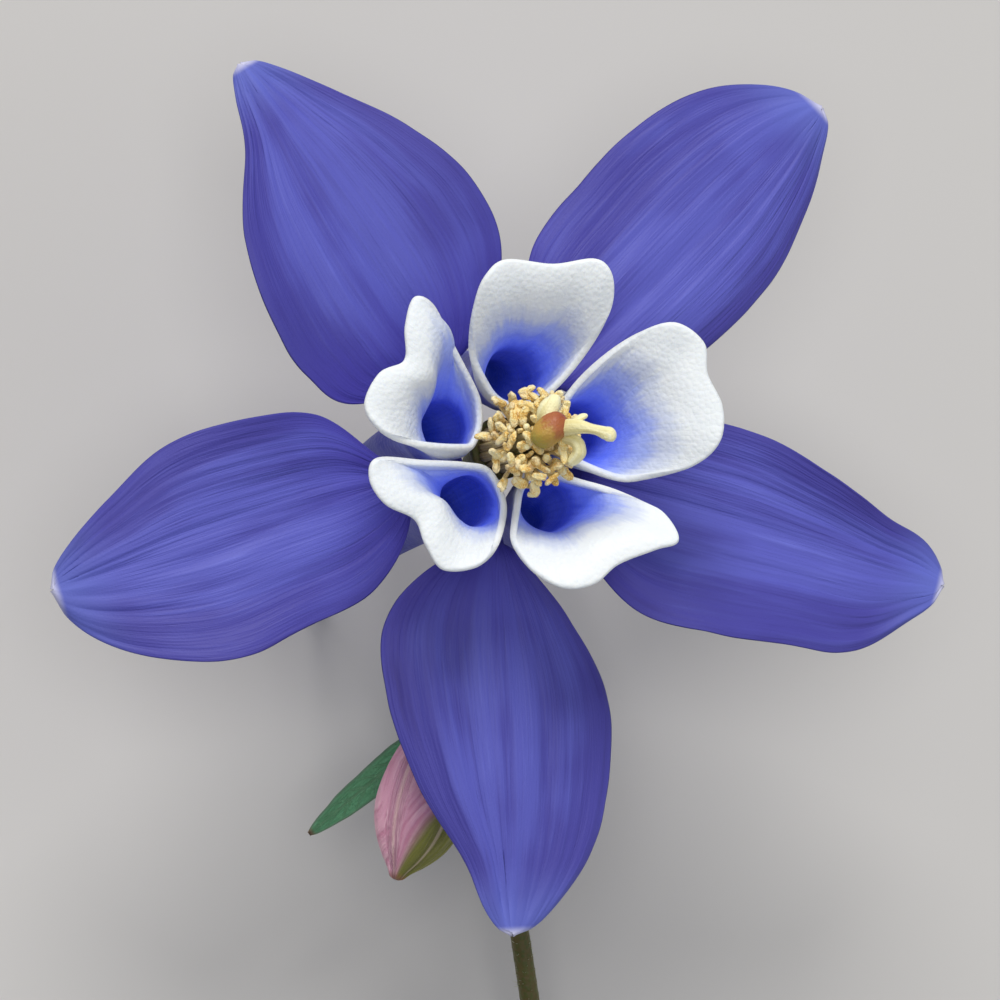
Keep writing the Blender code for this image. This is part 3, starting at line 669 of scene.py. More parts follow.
PETAL_FOLD = 0.22 * MM
# How deep in the colours the throat starts and how far its blue goes, and how that differs with the side.
THROAT_DEPTH, BLUE_DEPTH, BLUE_SIDE_REACH = 0.10, 0.58, 0.16


def petal_edge(angles, shape):
    """The free edge and its flare, for angles round the throat."""
    flare, high = shape["flare"], shape["height"]
    heights = (high, high - 0.1, min(high - 0.2, EDGE_SHOULDER_HEIGHT), *EDGE_SIDE_HEIGHTS)
    flares = (flare, flare - 8.0, *EDGE_SIDE_FLARES)
    rows = [(0.0, shape["middle"], 0.0, high - 0.2, flare)]
    rows.append((180.0, *shape["back"], EDGE_BACK_HEIGHT, EDGE_BACK_FLARE))
    for side, sign in (("left", 1), ("right", -1)):
        for turn, (out, aside), z, slope in zip(EDGE_TURNS, shape[side], heights, flares):
            rows.append((sign * turn, out, sign * aside, z, slope))
    rows = np.array(sorted(rows))
    turns = np.concatenate([rows[:, 0] - 360.0, rows[:, 0], rows[:, 0] + 360.0])
    values = smooth_through(turns, np.tile(rows[:, 1:], (3, 1)), np.degrees(angles))
    ends = values[:, :3] * MM
    unturned = 1 - smoothstep(*LEAN_HEIGHTS, ends[:, 2])
    ends = turned_by(ends, math.radians(shape["blade"] - shape["throat"]) * unturned)
    return ends, np.radians(values[:, 3])


def petal_room(name, turned):
    """The angle to the border on the right and on the left, for each share of the turning."""
    names = list(PETALS)
    i = names.index(name)
    before, own, after = PETALS[names[i - 1]], PETALS[name], PETALS[names[(i + 1) % len(names)]]
    way = own["throat"] + (own["blade"] - own["throat"]) * turned
    sides = []
    for one, other in ((before, own), (own, after)):
        low = one["throat"] + (other["throat"] - one["throat"]) % 360 / 2
        border = low + ((one["border"] - low + 180) % 360 - 180) * turned
        sides.append(border)
    return np.radians((way - sides[0]) % 360), np.radians((sides[1] - way) % 360)


def softly_below(value, limit):
    """The value, kept under the limit with a soft turn near it."""
    return limit - PRESS * np.logaddexp(0.0, (limit - value) / PRESS)


def petal_ring(name, angles, v):
    """A ring of the petal above its throat: v is 0 at the throat and 1 at the free edge."""
    shape = PETALS[name]
    start = np.stack(
        [THROAT_FROM_AXIS + THROAT_RADIUS * np.cos(angles), THROAT_RADIUS * np.sin(angles),
         np.full_like(angles, THROAT_HEIGHT)], axis=-1)
    end, flare = petal_edge(angles, shape)
    reach = np.linalg.norm(end - start, axis=1)[:, None]
    outward = (end - start) * (1, 1, 0)
    outward /= np.maximum(np.linalg.norm(outward, axis=1), 1e-6)[:, None]
    slope = np.sin(flare)[:, None] * outward + np.cos(flare)[:, None] * UP
    ring = (2 * v**3 - 3 * v**2 + 1) * start + (v**3 - 2 * v**2 + v) * reach * shape["rise"] * UP
    outer_side = (0.5 + 0.5 * np.cos(angles))[:, None]
    roll = 1 + (shape["roll"] - 1) * outer_side
    ring = ring + (3 * v**2 - 2 * v**3) * end + (v**3 - v**2) * reach * roll * slope
    turned = smoothstep(*LEAN_HEIGHTS, ring[:, 2])
    right, left = petal_room(name, turned)
    ring[:, 1] = softly_below(ring[:, 1], ring[:, 0] * np.tan(left) - GAP)
    ring[:, 1] = -softly_below(-ring[:, 1], ring[:, 0] * np.tan(right) - GAP)
    return turned_by(ring, math.radians(shape["blade"] - shape["throat"]) * turned)


def spur_rings(angles, swing, count):
    """Rings of the spur from the knob's flat spot on the table up to just under the throat."""
    line = np.array(SPUR[::-1])
    line = smooth_through(np.arange(len(line)), line, np.linspace(0, len(line) - 1, count))
    slopes = np.gradient(line[:, :2], axis=0)
    slopes /= np.linalg.norm(slopes, axis=1)[:, None]
    flat = KNOB_FLAT_RADIUS
    rings = [np.stack(
        [SPUR[-1][0] + flat * np.cos(angles), flat * np.sin(angles),
         np.full_like(angles, FLOOR)], axis=-1)]
    for (x, z, radius), (across, up) in zip(line, slopes):
        rings.append(np.stack(
            [x + radius * np.cos(angles) * up, radius * np.sin(angles),
             z - radius * np.cos(angles) * across], axis=-1))
    swings = [swing * float(1 - smoothstep(*SWING_HEIGHTS, ring[:, 2].mean())) for ring in rings]
    return [turned_by(ring, angle) for ring, angle in zip(rings, swings)]


def petal(name, shape, seed):
    """One petal with its spur, as a single skin."""
    angles = np.linspace(-math.pi, math.pi, PETAL_AROUND, endpoint=False)
    spur = spur_rings(angles, math.radians(shape["spur"] - shape["throat"]), SPUR_STEPS)
    shares = np.linspace(0.0, 1.0, BLADE_STEPS)
    outside = np.array(spur + [petal_ring(name, angles, v) for v in shares])
    normals = normals_of(outside, round_it=True)
    rise = np.concatenate([-np.linspace(1.0, 0.02, len(spur)), shares])
    swell = 1 + RIM_SWELL * np.exp(-(((rise - 0.97) / 0.06) ** 2))[:, None, None]
    sheet = outside - normals * PETAL_WALL / 2
    fold = waves(angles * 1.6 + 9, rise[:, None] * 3 + 4, seed) * PETAL_FOLD
    fold = fold * (smoothstep(0.3, 0.8, rise) * smoothstep(0.0, 0.3, 1 - rise))[:, None]
    sheet = sheet + normals * fold[:, :, None]
    half = swell * PETAL_WALL / 2
    outer = sheet + normals * half
    inner = sheet - normals * half
    ahead = sheet[-1] - sheet[-2]
    ahead /= np.maximum(np.linalg.norm(ahead, axis=1), 1e-9)[:, None]
    tilt = np.linspace(0.0, math.pi, RIM_STEPS + 2)[1:-1]
    rim = [sheet[-1] + half[-1] * (normals[-1] * math.cos(t) + ahead * math.sin(t)) for t in tilt]
    bore = [i for i in range(len(outside)) if outside[i][:, 2].mean() > BORE_FLOOR][::-1]
    rings = np.array([*outer, *rim, *(inner[i] for i in bore)])
    rings = turned_by(rings, math.radians(shape["throat"]))
    climb = np.concatenate([rise, np.ones(len(rim)), rise[bore]])
    off_side = 1 - np.cos(angles - math.radians(shape["blue_side"]))
    blue_end = shape["blue"] + BLUE_SIDE_REACH * off_side
    depth = np.clip(THROAT_DEPTH + BLUE_DEPTH * climb[:, None] / blue_end, 0.0, 1.0)
    places = np.stack([np.cos(angles) + 0 * depth, np.sin(angles) + 0 * depth, depth], axis=-1)
    side = np.concatenate([-np.ones(len(outer)), np.linspace(-0.8, 0.8, len(rim)), np.ones(len(bore))])
    return organ(name + "_fine", [(rings, places, side[:, None] + 0 * angles)], own=seed / 10)


for index, (name, shape) in enumerate(PETALS.items()):
    keep_as(petal(name, shape, 21 + index), "petal", PETAL_FINISH, name)

# %% [markdown]
# ## Stamens
#
# A ring of stalks stands round the pistils and parts into bent filaments. Each carries an anther, two
# lobes side by side, mealy with pollen. They are lofted rings with a pinched outline, tilted at random
# and roughened with waves, because smooth beads would look like plastic.

# %% The finishes of the stamens


def anther_finish():
    material, tree, shader = new_finish("golden_anther", 0.75, 0.25, 0.1)
    _, _, along, _ = where_grown(tree)
    patch = effect(tree, "patches", size=0.0011)["Patch"]
    grain = effect(tree, "grain", size=0.00017)
    tone = weighted(tree, (patch, 0.6), (grain["Pores"], 0.5), clamp=True)
    gold = colours_along(tree, tone, (
        (0.0, (1.0, 0.92, 0.58)), (0.4, (1.0, 0.84, 0.42)),
        (0.75, (0.96, 0.70, 0.26)), (1.0, (0.78, 0.46, 0.11))))
    gold = blended(tree, eased(tree, along, 0.55, 0.95), gold, (1.0, 0.95, 0.72), most=0.4)
    finish_with(tree, shader, gold, grain["Height"], 0.00008)
    return material


def filament_painted_shade_finish():
    material, tree, shader = new_finish("filament_and_painted_shade", 0.5)
    streaks = effect(tree, "veins", across=4.0, along=3.0)["Streak"]
    # Partly the filaments' own pale colour, partly painted shade: the streaks turn them a darker
    # orange-brown, so the gaps between the anthers look shaded.
    colour = blended(tree, streaks, (0.80, 0.66, 0.32), (0.56, 0.36, 0.12))
    finish_with(tree, shader, colour, effect(tree, "grain", size=0.00015)["Height"], 0.00003)
    return material


ANTHER_FINISH = anther_finish()
FILAMENT_PAINTED_SHADE_FINISH = filament_painted_shade_finish()
BROWN_FINISH = graded_finish(
    ("closed_anther", 0.4, 0.4), dict(across=3.0, along=4.0), (0.85, 0.15),
    ((0.0, (0.36, 0.33, 0.05)), (0.38, (0.50, 0.30, 0.06)),
     (0.66, (0.42, 0.13, 0.045)), (1.0, (0.34, 0.08, 0.035))),
    grain=0.0002, depth=0.00004)
print("finishes:", ANTHER_FINISH.name, FILAMENT_PAINTED_SHADE_FINISH.name, BROWN_FINISH.name)

# %% The stamens' shapes
STAMEN_COUNT = 42
STAMEN_COLUMN = (2.6 * MM, 8.6 * MM)
STAMEN_SLEEVE = (1.4 * MM, 2.4 * MM)
STAMEN_HEAD = (2.0 * MM, 4.5 * MM)
# The height of the head's middle, how far its rim is lower, and how uneven it is, in millimetres.
STAMEN_TOP, STAMEN_FALL, STAMEN_UNEVEN = 15.4, 3.0, 0.7
GOLDEN_ANGLE = math.pi * (3 - math.sqrt(5))
ANTHER_LENGTH = 1.75 * MM
ANTHER_RADIUS = 0.33 * MM
ANTHER_SIDES = 16
FILAMENT_FOOT_RADIUS = 0.28 * MM
FILAMENT_RADIUS = 0.17 * MM
INNER_COUNT = 46
INNER_REACH = 3.9 * MM
INNER_HEIGHTS = (13.4 * MM, 15.6 * MM)


def anther(middle, way, roll, size, rng):
    """An anther of two lobes round a middle, along a direction."""
    shares = np.linspace(0.0, 1.0, 18)
    belly = np.sqrt(np.clip(1 - (2 * shares - 1) ** 4, 0.0, 1.0))
    length = ANTHER_LENGTH * size
    path = middle + np.outer((shares - 0.5) * length, way)
    path = path + np.outer(np.sin(math.pi * shares) * 0.16 * length, rng.normal(0, 1, 3) * 0.7)
    skin = tube(path, np.maximum(belly, 0.14) * ANTHER_RADIUS * size, ANTHER_SIDES)
    angles = round_angles(ANTHER_SIDES) + roll
    pinch = 1 + 0.36 * np.cos(2 * angles) - 0.12 * np.cos(4 * angles)
    rough = waves(angles * 2.4 + 10 * roll, shares[:, None] * 6 + 3, int(rng.integers(1000)))
    return reshaped(skin, path, pinch * (1 + 0.24 * rough))


def stamen_skins():
    """The filaments and the anthers, each a list of skins."""
    low, high = STAMEN_COLUMN
    inside, outside = STAMEN_SLEEVE
    rng = np.random.default_rng(7)
    sway = np.random.default_rng(70)
    stalks, anthers = [], []
    for i in range(STAMEN_COUNT):
        turn = i * GOLDEN_ANGLE + rng.uniform(-0.1, 0.1)
        share = (i + 0.5) / STAMEN_COUNT
        head = math.sqrt(STAMEN_HEAD[0] ** 2 + share * (STAMEN_HEAD[1] ** 2 - STAMEN_HEAD[0] ** 2))
        top = (STAMEN_TOP - STAMEN_FALL * share + rng.uniform(-STAMEN_UNEVEN, STAMEN_UNEVEN)) * MM
        root = (inside + outside) / 2 + rng.uniform(-0.2, 0.2) * MM
        lean = (head - root) / 6.0
        knots = np.array([
            (root, low), (root, high - 1.2 * MM), (root + 0.8 * lean, 0.5 * (high + top)),
            (head - lean, top - ANTHER_LENGTH), (head - 0.3 * lean, top - 0.6 * ANTHER_LENGTH)])
        line = smooth_through(np.arange(len(knots)), knots, np.linspace(0, len(knots) - 1, 22))
        path = np.stack([line[:, 0] * math.cos(turn), line[:, 0] * math.sin(turn), line[:, 1]], axis=-1)
        stalks.append(tube(path, np.linspace(FILAMENT_FOOT_RADIUS, FILAMENT_RADIUS, 22), 8))
        outward = np.array([math.cos(turn), math.sin(turn), 0.0])
        way = UP * sway.uniform(0.1, 0.9) + outward * sway.uniform(-0.2, 0.9) + sway.normal(0, 0.45, 3)
        way /= np.linalg.norm(way)
        middle = np.array([head * math.cos(turn), head * math.sin(turn), top - 0.45 * ANTHER_LENGTH])
        anthers.append(anther(middle, way, sway.uniform(0, math.pi), sway.uniform(0.82, 1.12), sway))
    return stalks, anthers


def inner_anthers():
    """Small anthers that fill the middle of the head, between the styles."""
    rng = np.random.default_rng(71)
    skins = []
    for i in range(INNER_COUNT):
        turn = i * GOLDEN_ANGLE
        radius = INNER_REACH * math.sqrt((i + 0.5) / INNER_COUNT)
        middle = np.array([radius * math.cos(turn), radius * math.sin(turn), rng.uniform(*INNER_HEIGHTS)])
        way = rng.normal(0, 1, 3)
        way /= np.linalg.norm(way)
        skins.append(anther(middle, way, rng.uniform(0, math.pi), rng.uniform(0.7, 0.95), rng))
    return skins


stalk_skins, anther_skins = stamen_skins()
keep_as(organ("anthers", anther_skins + inner_anthers(), 0.3), "anther", ANTHER_FINISH, "stamens")
keep_as(organ("filaments", stalk_skins, 0.4), "style", FILAMENT_PAINTED_SHADE_FINISH, "stamens")

# %% The closed anther
BROWN_ENDS = ((-0.75, -0.75, 15.9), (1.75, 1.75, 16.8))
BROWN_RADIUS = 1.3 * MM
# Each groove's place round the anther, its width and its depth as a share of the radius.
BROWN_GROOVES = ((2.2, 0.22, 0.16), (4.6, 0.25, 0.12))


def closed_anther():
    """A plump oval with a groove along it, from its olive foot to its rosy end."""
    low, high = np.array(BROWN_ENDS) * MM
    shares = np.linspace(0.0, 1.0, 40)
    path = low + np.outer(shares, high - low)
    belly = np.sqrt(np.clip(1 - np.abs(2 * shares - 1) ** 2.6, 0.0, 1.0))
    angles = round_angles(40)
    factor = 1 + 0.05 * waves(angles * 2 + 6, shares[:, None] * 5 + 2, 72)
    depths = [deep * np.exp(-(((angles - turn) / wide) ** 2)) for turn, wide, deep in BROWN_GROOVES]
    skin = tube(path, np.maximum(belly, 0.05) * BROWN_RADIUS, 40)
    return reshaped(skin, path, factor * (1 - depths[0] - depths[1]))


keep_as(organ("closed_anther", [closed_anther()], 0.9), "anther", BROWN_FINISH, "stamens")

# %% [markdown]
# ## Pistils
#
# Five narrow ovaries stand in the middle and each draws out into a style. One style leans far over the
# others and ends in a blunt hook, pale yellow and waxy. Beside it sits one closed anther, still brown.

# %% The pistils
STYLE_FINISH = graded_finish(
    ("pale_style", 0.42, 0.4, 0.1), dict(across=3.0, along=5.0), (0.75, 0.25),
    ((0.0, (0.22, 0.30, 0.06)), (0.5, (0.84, 0.74, 0.34)),
     (0.8, (1.0, 0.93, 0.54)), (1.0, (1.0, 0.97, 0.68))),
    grain=0.0002, depth=0.00004)
# Points of each style above its ovary and its radius there, in millimetres. The first leans far out and
# ends in a blunt hook, the second is a broad pale body, and the last curls down beside the head.
STYLES = (
    ((0.6, 0.1, 13.5, 0.40), (1.4, 0.6, 16.2, 0.70), (2.6, 0.75, 17.6, 0.64), (3.8, 0.45, 18.4, 0.44),
     (4.7, 0.25, 18.6, 0.56), (5.2, 0.0, 18.6, 0.66), (5.1, -0.55, 18.4, 0.56)),
    ((0.3, 0.5, 13.5, 0.4), (0.3, 1.2, 15.2, 0.7), (0.45, 2.1, 16.0, 0.95), (0.9, 3.0, 16.2, 0.75),
     (1.1, 3.5, 16.0, 0.4)),
    ((-0.5, 0.3, 13.2, 0.3), (-0.9, 0.7, 14.4, 0.28), (-1.3, 1.0, 15.0, 0.3)),
    ((-0.5, -0.3, 13.2, 0.3), (-0.9, -0.7, 14.4, 0.28), (-1.3, -1.0, 15.0, 0.3)),
    ((0.5, -0.3, 13.2, 0.35), (1.8, -0.1, 15.4, 0.45), (2.9, -0.5, 16.4, 0.58), (3.2, -1.3, 16.3, 0.60),
     (2.9, -1.95, 15.9, 0.52), (2.5, -2.4, 15.4, 0.34)),
)
OVARY = ((0.45, 2.6, 0.40), (0.5, 4.5, 0.50), (0.5, 7.5, 0.50), (0.45, 9.5, 0.36), (0.5, 11.4, 0.32))


def pistil_skin(i):
    """One ovary and its style, as a tube whose radius follows it."""
    turn = 2 * math.pi * i / 5
    foot = [(out * math.cos(turn), out * math.sin(turn), high, thick) for out, high, thick in OVARY]
    knots = np.array([*foot, *STYLES[i]]) * MM
    line = smooth_through(np.arange(len(knots)), knots, np.linspace(0, len(knots) - 1, 90))
    radii = line[:, 3].copy()
    radii[-5:] *= (0.97, 0.9, 0.75, 0.5, 0.15)
    uneven = 1 + 0.12 * waves(round_angles(22) * 2 + 4, np.linspace(0, 11, 90)[:, None], 60 + i)
    return reshaped(tube(line[:, :3], radii, 22), line[:, :3], uneven)


def style_twig():
    """A short side branch on the long style."""
    path = np.array([(2.2, 0.9, 17.2), (2.9, 1.5, 17.6), (3.6, 1.75, 17.6)]) * MM
    path = smooth_through(np.arange(3), path, np.linspace(0, 2, 20))
    radii = 0.30 * MM * np.sqrt(np.clip(1 - np.linspace(0, 1, 20) ** 6, 0.03, 1.0))
    return tube(path, radii, 14, along=(0.8, 1.0))


style_skins = [pistil_skin(i) for i in range(len(STYLES))] + [style_twig()]
keep_as(organ("styles", style_skins, 0.5), "style", STYLE_FINISH, "pistils")

# %% [markdown]
# ## Stem
#
# The stem forks below the bloom and carries the bud's stalk. The solid has the right course, so its mesh is
# the start: a fine remesh melts the joints into each other as they grow, and a little smoothing takes away
# the facets. Short hairs stand all over it, as thin cones that lean towards the bloom.

# %% The stem and its hairs


def stem_finish():
    material, tree, shader = new_finish("olive_stem", 0.5, 0.35, 0.15, (0.8, 0.9, 0.6))
    patch = effect(tree, "patches", size=0.005)["Patch"]
    grain = effect(tree, "grain", size=0.0004)
    colour = blended(tree, patch, (0.060, 0.075, 0.014), (0.10, 0.105, 0.022))
    colour = blended(tree, grain["Pores"], colour, (0.15, 0.07, 0.03), most=0.35)
    finish_with(tree, shader, colour, grain["Height"], 0.00006)
    return material


def hair_finish():
    material, tree, shader = new_finish("pale_hair", 0.4)
    patch = effect(tree, "patches", size=0.002)["Patch"]
    wire(tree, blended(tree, patch, (0.45, 0.46, 0.30), (0.62, 0.62, 0.46)), shader.inputs["Base Color"])
    return material


def fine_copy(node, name, voxel, smoothing):
    """A remeshed and smoothed copy of a plain solid's mesh."""
    copy = placed(name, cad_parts[node].data.copy())
    melt = copy.modifiers.new("melt", "REMESH")
    melt.mode = "VOXEL"
    melt.voxel_size = voxel
    ease = copy.modifiers.new("ease", "SMOOTH")
    ease.factor = 0.5
    ease.iterations = smoothing
    graph = bpy.context.evaluated_depsgraph_get()
    mesh = bpy.data.meshes.new_from_object(copy.evaluated_get(graph))
    bpy.data.objects.remove(copy)
    mesh.name = name
    mesh.shade_smooth()
    return placed(name, mesh)


STEM_VOXEL = 0.25 * MM
STEM_SMOOTHING = 3
STEM_FINISH = stem_finish()
HAIR_FINISH = hair_finish()
stem = fine_copy("stem", "stem_fine", STEM_VOXEL, STEM_SMOOTHING)
keep_as(stem, "stem", STEM_FINISH, "stem")

HAIR_COUNT = 1500
HAIR_LENGTH = (0.25 * MM, 0.6 * MM)
HAIR_RADIUS = 0.028 * MM
HAIR_LEAN = np.array([0.0, 0.35, 0.1])
HAIR_SCATTER = 0.18
# Hairs grow clear of the table and stop short of the bloom.
HAIR_HEIGHTS = (FLOOR + 0.9 * MM, -5 * MM)


def hair_skins(host):
    """Thin cones that stand on a mesh at random places."""
    rng = np.random.default_rng(11)
    vertices = host.data.vertices
    skins = []
    for index in rng.choice(len(vertices), HAIR_COUNT, replace=False):
        root = np.array(vertices[index].co) - np.array(BLOOM)
        normal = np.array(vertices[index].normal)
        if not HAIR_HEIGHTS[0] <= root[2] <= HAIR_HEIGHTS[1]:
            continue
        lean = normal + HAIR_LEAN + rng.normal(0, HAIR_SCATTER, 3)
        lean /= np.linalg.norm(lean)
        tip = root + lean * rng.uniform(*HAIR_LENGTH)
        path = np.linspace(root - normal * 0.03 * MM, tip, 3)
        skins.append(tube(path, (HAIR_RADIUS, 0.7 * HAIR_RADIUS, 0.12 * HAIR_RADIUS), 4))
    return skins


keep_as(organ("stem_hairs", hair_skins(stem)), "stem", HAIR_FINISH)

# %% [markdown]
# ## Bud
#
# The closed bud is five sepals folded over each other, rose on the sunny side and olive towards the
# tip. A turned body would lose the seams, so the loft pinches each ring five times and lets one sepal's
# margin stand a little over the next, with a slow twist towards the tip.

# %% The bud
BUD_BASE = Vector((-1.1, -24.4, -12.0)) * MM
BUD_TIP = Vector((-6.3, -38.6, -11.6)) * MM
BUD_OUTLINE = (
    (0.0, 1.3), (0.05, 2.2), (0.16, 3.3), (0.32, 4.1), (0.48, 4.35), (0.63, 4.1), (0.77, 3.3),
    (0.88, 2.1), (0.95, 1.1), (1.0, 0.55),
)
BUD_HALF_WIDTH = 4.3 * MM
# How far the seams pinch the bud, one margin stands over the next, and the seam itself is cut in.
BUD_PINCH, BUD_OVERLAP, BUD_SEAM = 0.07, 0.035, 0.03
BUD_UNEVEN = 0.05 * MM
BUD_SHADY_SIDE = np.array([0.93, -0.36, 0.0])


def in_bud_frame(points):
    """Points that were made along +Z, laid along the bud from its base."""
    return laid_along(points, (BUD_TIP - BUD_BASE).normalized(), BUD_BASE, "Z", "Y")


def bud_finish():
    material, tree, shader = new_finish("rose_bud", 0.5, 0.3, 0.1, (1.0, 0.8, 0.9))
    seam, shade, along, _ = where_grown(tree)
    streaks = effect(tree, "veins", across=9.0, along=2.5, detail=3.0)["Streak"]
    rose = colours_along(tree, streaks, (
        (0.0, (0.62, 0.26, 0.38)), (0.5, (0.74, 0.37, 0.50)), (1.0, (0.82, 0.48, 0.58))))
    olive = blended(tree, streaks, (0.17, 0.18, 0.025), (0.27, 0.27, 0.06))
    colour = blended(tree, eased(tree, shade, 0.02, 0.36), rose, olive)
    colour = blended(tree, eased(tree, seam, 0.75, 1.0), colour, (0.80, 0.62, 0.52), most=0.45)
    colour = blended(tree, eased(tree, along, 0.95, 1.0), colour, (0.40, 0.12, 0.08), most=0.6)
    grain = effect(tree, "grain", size=0.0003)["Height"]
    finish_with(tree, shader, colour, weighted(tree, (streaks, 1), (grain, 0.4)), 0.00009)
    return material


def bud_skin():
    """The bud's skin, with its seams. It keeps how near a seam and how much in the shade a point is."""
    length = (BUD_TIP - BUD_BASE).length
    rows, count = 90, 140
    shares = np.linspace(0.0, 1.0, rows)[:, None]
    angles = round_angles(count)[None, :]
    table = np.array(BUD_OUTLINE)
    radius = smooth_through(table[:, 0], table[:, 1] * MM, shares)
    twist = 2.5 * (angles + 0.25 * shares)
    near = np.abs(np.cos(twist))
    overlap = BUD_OVERLAP * ((twist / math.pi + 0.5) % 1.0 - 0.5)
    size = radius * (1 - BUD_PINCH * near**3 + overlap * np.sin(math.pi * shares) - BUD_SEAM * near**40)
    size = size + BUD_UNEVEN * waves(angles * 4 + 5, shares * 5 + 4, 90)
    size = size * np.sqrt(np.clip((1.0 - shares) / 0.012, 0.25, 1.0))
    height = shares * length + 0 * angles
    points = in_bud_frame(np.stack([size * np.cos(angles), size * np.sin(angles), height], axis=-1))
    seam = near**14 + 0 * shares
    middle = in_bud_frame(np.array([0.0, 0.0, 0.5 * length]))
    across = (points - middle) @ BUD_SHADY_SIDE / BUD_HALF_WIDTH
    shade = across + 0.25 * waves(angles * 1.5 + 3, shares * 3 + 2, 91) + 0.55 * (shares - 0.45)
    places = np.stack([seam, shade, shares + 0 * angles], axis=-1)
    return points, places, np.ones(seam.shape)


keep_as(organ("bud_fine", [bud_skin()], 0.6), "bud", bud_finish(), "bud")

# %% [markdown]
# Behind the bud its five young spurs hook back from a small green disc. They are thin tapered tubes, blue
# at the knob and green near the disc.

# %% The bud's spurs
BUD_SPUR_COUNT = 5
BUD_SPUR_LENGTH = 7.0 * MM
BUD_SPUR_FINISH = graded_finish(
    ("young_spur", 0.45, 0.35, 0.15, (0.7, 0.7, 1.0)), dict(across=5.0, along=4.0), (1, 0.12),
    ((0.0, (0.12, 0.16, 0.05)), (0.4, (0.30, 0.22, 0.34)),
     (0.8, (0.16, 0.14, 0.50)), (1.0, (0.10, 0.10, 0.42))),
    grain=0.0003, depth=0.00005)


def young_spur_skins():
    shares = np.linspace(0.0, 1.0, 40)
    disc_path = np.stack([0 * shares, 0 * shares, (-1.1 + 0.7 * shares) * MM], axis=-1)
    skins = [tube(disc_path, (1.5 + 0.4 * np.sin(shares * math.pi / 2)) * MM, 28, along=(0.0, 0.02))]
    for i in range(BUD_SPUR_COUNT):
        turn = 2 * math.pi * (i + 0.5) / BUD_SPUR_COUNT
        out = (1.6 + 1.3 * np.sin(math.pi * shares * 0.9)) * MM
        back = -0.75 * MM - BUD_SPUR_LENGTH * np.sin(shares * 0.62 * math.pi)
        radii = np.interp(shares, (0, 0.5, 0.85, 0.95, 1), (0.6, 0.42, 0.36, 0.44, 0.25)) * MM
        path = np.stack([out * math.cos(turn), out * math.sin(turn), back], axis=-1)
        skins.append(tube(path, radii, 14))
    return [(in_bud_frame(rings), places, side) for rings, places, side in skins]


keep_as(organ("bud_spurs_fine", young_spur_skins(), 0.7), "bud", BUD_SPUR_FINISH, "bud_spurs")

# %% [markdown]
# ## Bract
#
# The small leaf at the fork is narrow and keeled. Its midrib is sunk above, and side veins leave it at a
# steep angle, so both are modelled in the sheet's height and picked up again in the colour.

# %% The bract
BRACT_BASE = Vector((2.75, -22.3, -20.4)) * MM
BRACT_TIP = Vector((-12.6, -34.4, -19.2)) * MM
BRACT_HALF_WIDTH = 1.5 * MM
BRACT_HALF_THICKNESS = 0.2 * MM
BRACT_MARGIN_POWER = 8
BRACT_FALL = 0.7 * MM
BRACT_CUP = 0.35
RIB_DEPTH = 0.10 * MM
SIDE_VEIN_HEIGHT = 0.03 * MM


def bract_finish():
    material, tree, shader = new_finish("green_bract", 0.5, 0.35, 0.1, (0.8, 1.0, 0.8))
    across, vein, along, _ = where_grown(tree)
    streaks = effect(tree, "veins", across=6.0, along=6.0, detail=3.0)["Streak"]
    green = blended(tree, streaks, (0.09, 0.30, 0.14), (0.15, 0.43, 0.22))
    green = blended(tree, vein, green, (0.26, 0.52, 0.28), most=0.6)
    rim = eased(tree, math_of(tree, "ABSOLUTE", across), 0.85, 1.0)
    green = blended(tree, rim, green, (0.12, 0.12, 0.10), most=0.5)
    green = blended(tree, eased(tree, along, 0.97, 1.0), green, (0.22, 0.14, 0.08))
    grain = effect(tree, "grain", size=0.0003)["Height"]
    finish_with(tree, shader, green, weighted(tree, (streaks, 1), (grain, 1)), 0.00006)
    return material


def bract_skin():
    along = BRACT_TIP - BRACT_BASE
    columns = np.sin(np.linspace(-0.5, 0.5, 33) * math.pi)
    shares, across = np.meshgrid(np.linspace(0.0, 1.0, 110), columns, indexing="ij")
    half = BRACT_HALF_WIDTH * np.sqrt(np.maximum(np.sin(math.pi * shares**0.85), 0.0))
    half = np.maximum(half, 0.30 * MM * (1 - 0.6 * smoothstep(0.96, 1.0, shares)))
    half = half * (1 + 0.05 * waves(shares * 14, np.sign(across) + 3.5, 96))
    rib = np.exp(-((across / 0.10) ** 2))
    side_vein = np.maximum(np.cos((shares * 11 - np.abs(across) * 1.4) * 2 * math.pi), 0.0) ** 6
    side_vein = side_vein * (1 - across**2)
    height = BRACT_CUP * half * across**2 - BRACT_FALL * np.sin(math.pi * shares)
    height = height - RIB_DEPTH * rib * (1 - shares) + SIDE_VEIN_HEIGHT * side_vein
    sheet = np.stack([shares * along.length, across * half, height], axis=-1)
    places = np.stack([across, np.maximum(rib, 0.7 * side_vein), shares], axis=-1)
    rings, places = round_sheet(sheet, places, across, BRACT_HALF_THICKNESS, BRACT_MARGIN_POWER)
    return laid_along(rings, along, BRACT_BASE, "X", "Z"), places, np.ones(rings.shape[:2])


keep_as(organ("bract_fine", [bract_skin()], 0.8), "leaf", bract_finish(), "bract")

# %% [markdown]
# ## Table, light and camera
#
# The spray lies on a plain pale table. One broad soft light stands for an overcast sky above the upper
# left, a weaker one fills the shadows from the right, and the world gives an even pale ground light.

# %% The table
TABLE_HALF_SIZE = 2.0
# The table is a hair lower than the spray, so that the two surfaces don't share a plane.
TABLE_HEIGHT = -0.01 * MM


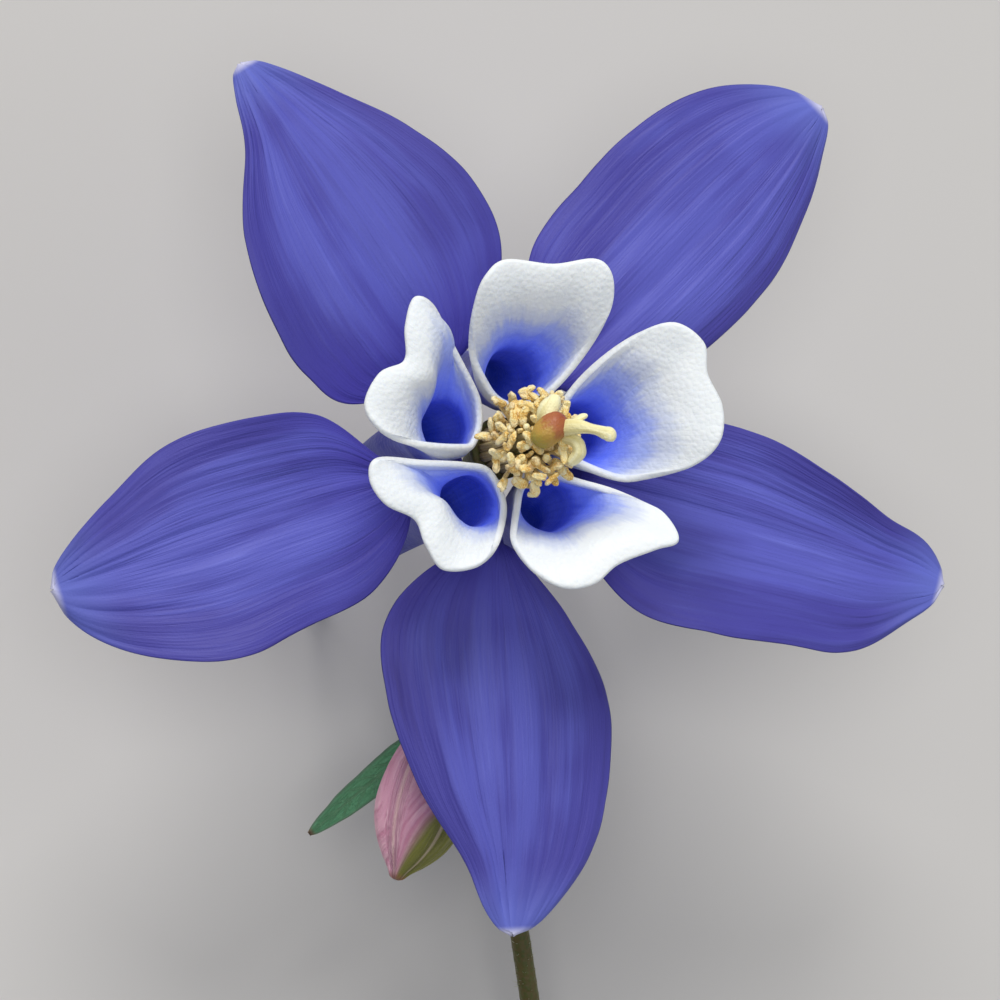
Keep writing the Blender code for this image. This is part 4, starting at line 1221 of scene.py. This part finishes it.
def table_top():
    mesh = bpy.data.meshes.new("table_top")
    built = bmesh.new()
    bmesh.ops.create_grid(built, x_segments=8, y_segments=8, size=TABLE_HALF_SIZE)
    built.to_mesh(mesh)
    built.free()
    made = placed("table_top", mesh)
    made.location.z = TABLE_HEIGHT
    material, tree, shader = new_finish("pale_table", 0.85, 0.1)
    patch = effect(tree, "patches", size=0.6)["Patch"]
    wire(tree, blended(tree, patch, (0.60, 0.585, 0.565), (0.64, 0.625, 0.605)), shader.inputs["Base Color"])
    mesh.materials.append(material)


table_top()

# %% The lights


def area_light(name, place, aim, size, watts, colour):
    data = bpy.data.lights.new(name, "AREA")
    data.shape = "DISK"
    data.size = size
    data.energy = watts
    data.color = colour
    made = placed(name, data)
    made.location = place
    made.rotation_euler = (Vector(aim) - Vector(place)).to_track_quat("-Z", "Y").to_euler()


area_light("sky_light", (-0.2, 0.85, 0.8), BLOOM, 0.55, 9.0, (1.0, 0.985, 0.96))
area_light("fill_light", (0.8, -0.3, 0.7), BLOOM, 0.8, 1.6, (0.92, 0.95, 1.0))
area_light("top_light", (-0.25, 0.0, 1.1), BLOOM, 0.5, 3.0, (1.0, 1.0, 1.0))
world = bpy.data.worlds.new("studio")
world.use_nodes = True
world.node_tree.nodes["Background"].inputs["Color"].default_value = (0.93, 0.95, 1.0, 1.0)
world.node_tree.nodes["Background"].inputs["Strength"].default_value = 0.24
bpy.context.scene.world = world
bpy.context.scene.view_settings.view_transform = "Standard"

# %% [markdown]
# The photograph was taken from almost straight in front of the bloom with a long lens, so the camera looks
# down on the lying spray, a little from one side of the bloom's axis, from 45 cm away.

# %% The camera
LEAN_X, LEAN_Y = 0.26, 0.07
DISTANCE = 450.0 * MM
back = Vector((-LEAN_X, -LEAN_Y, math.sqrt(1 - LEAN_X**2 - LEAN_Y**2)))
right = Vector((0.0, 1.0, 0.0)).cross(back).normalized()
upward = back.cross(right)
target = BLOOM + right * 0.45 * MM - upward * 4.5 * MM
camera_data = bpy.data.cameras.new("camera")
camera_data.sensor_width = 36.0
camera_data.lens = 180.0
camera_data.clip_start = 0.01
camera = placed("camera", camera_data)
facing = Matrix((right, upward, back)).transposed().to_4x4()
camera.matrix_world = Matrix.Translation(target + back * DISTANCE) @ facing
bpy.context.scene.camera = camera
print("camera at", [round(value, 3) for value in camera.location])
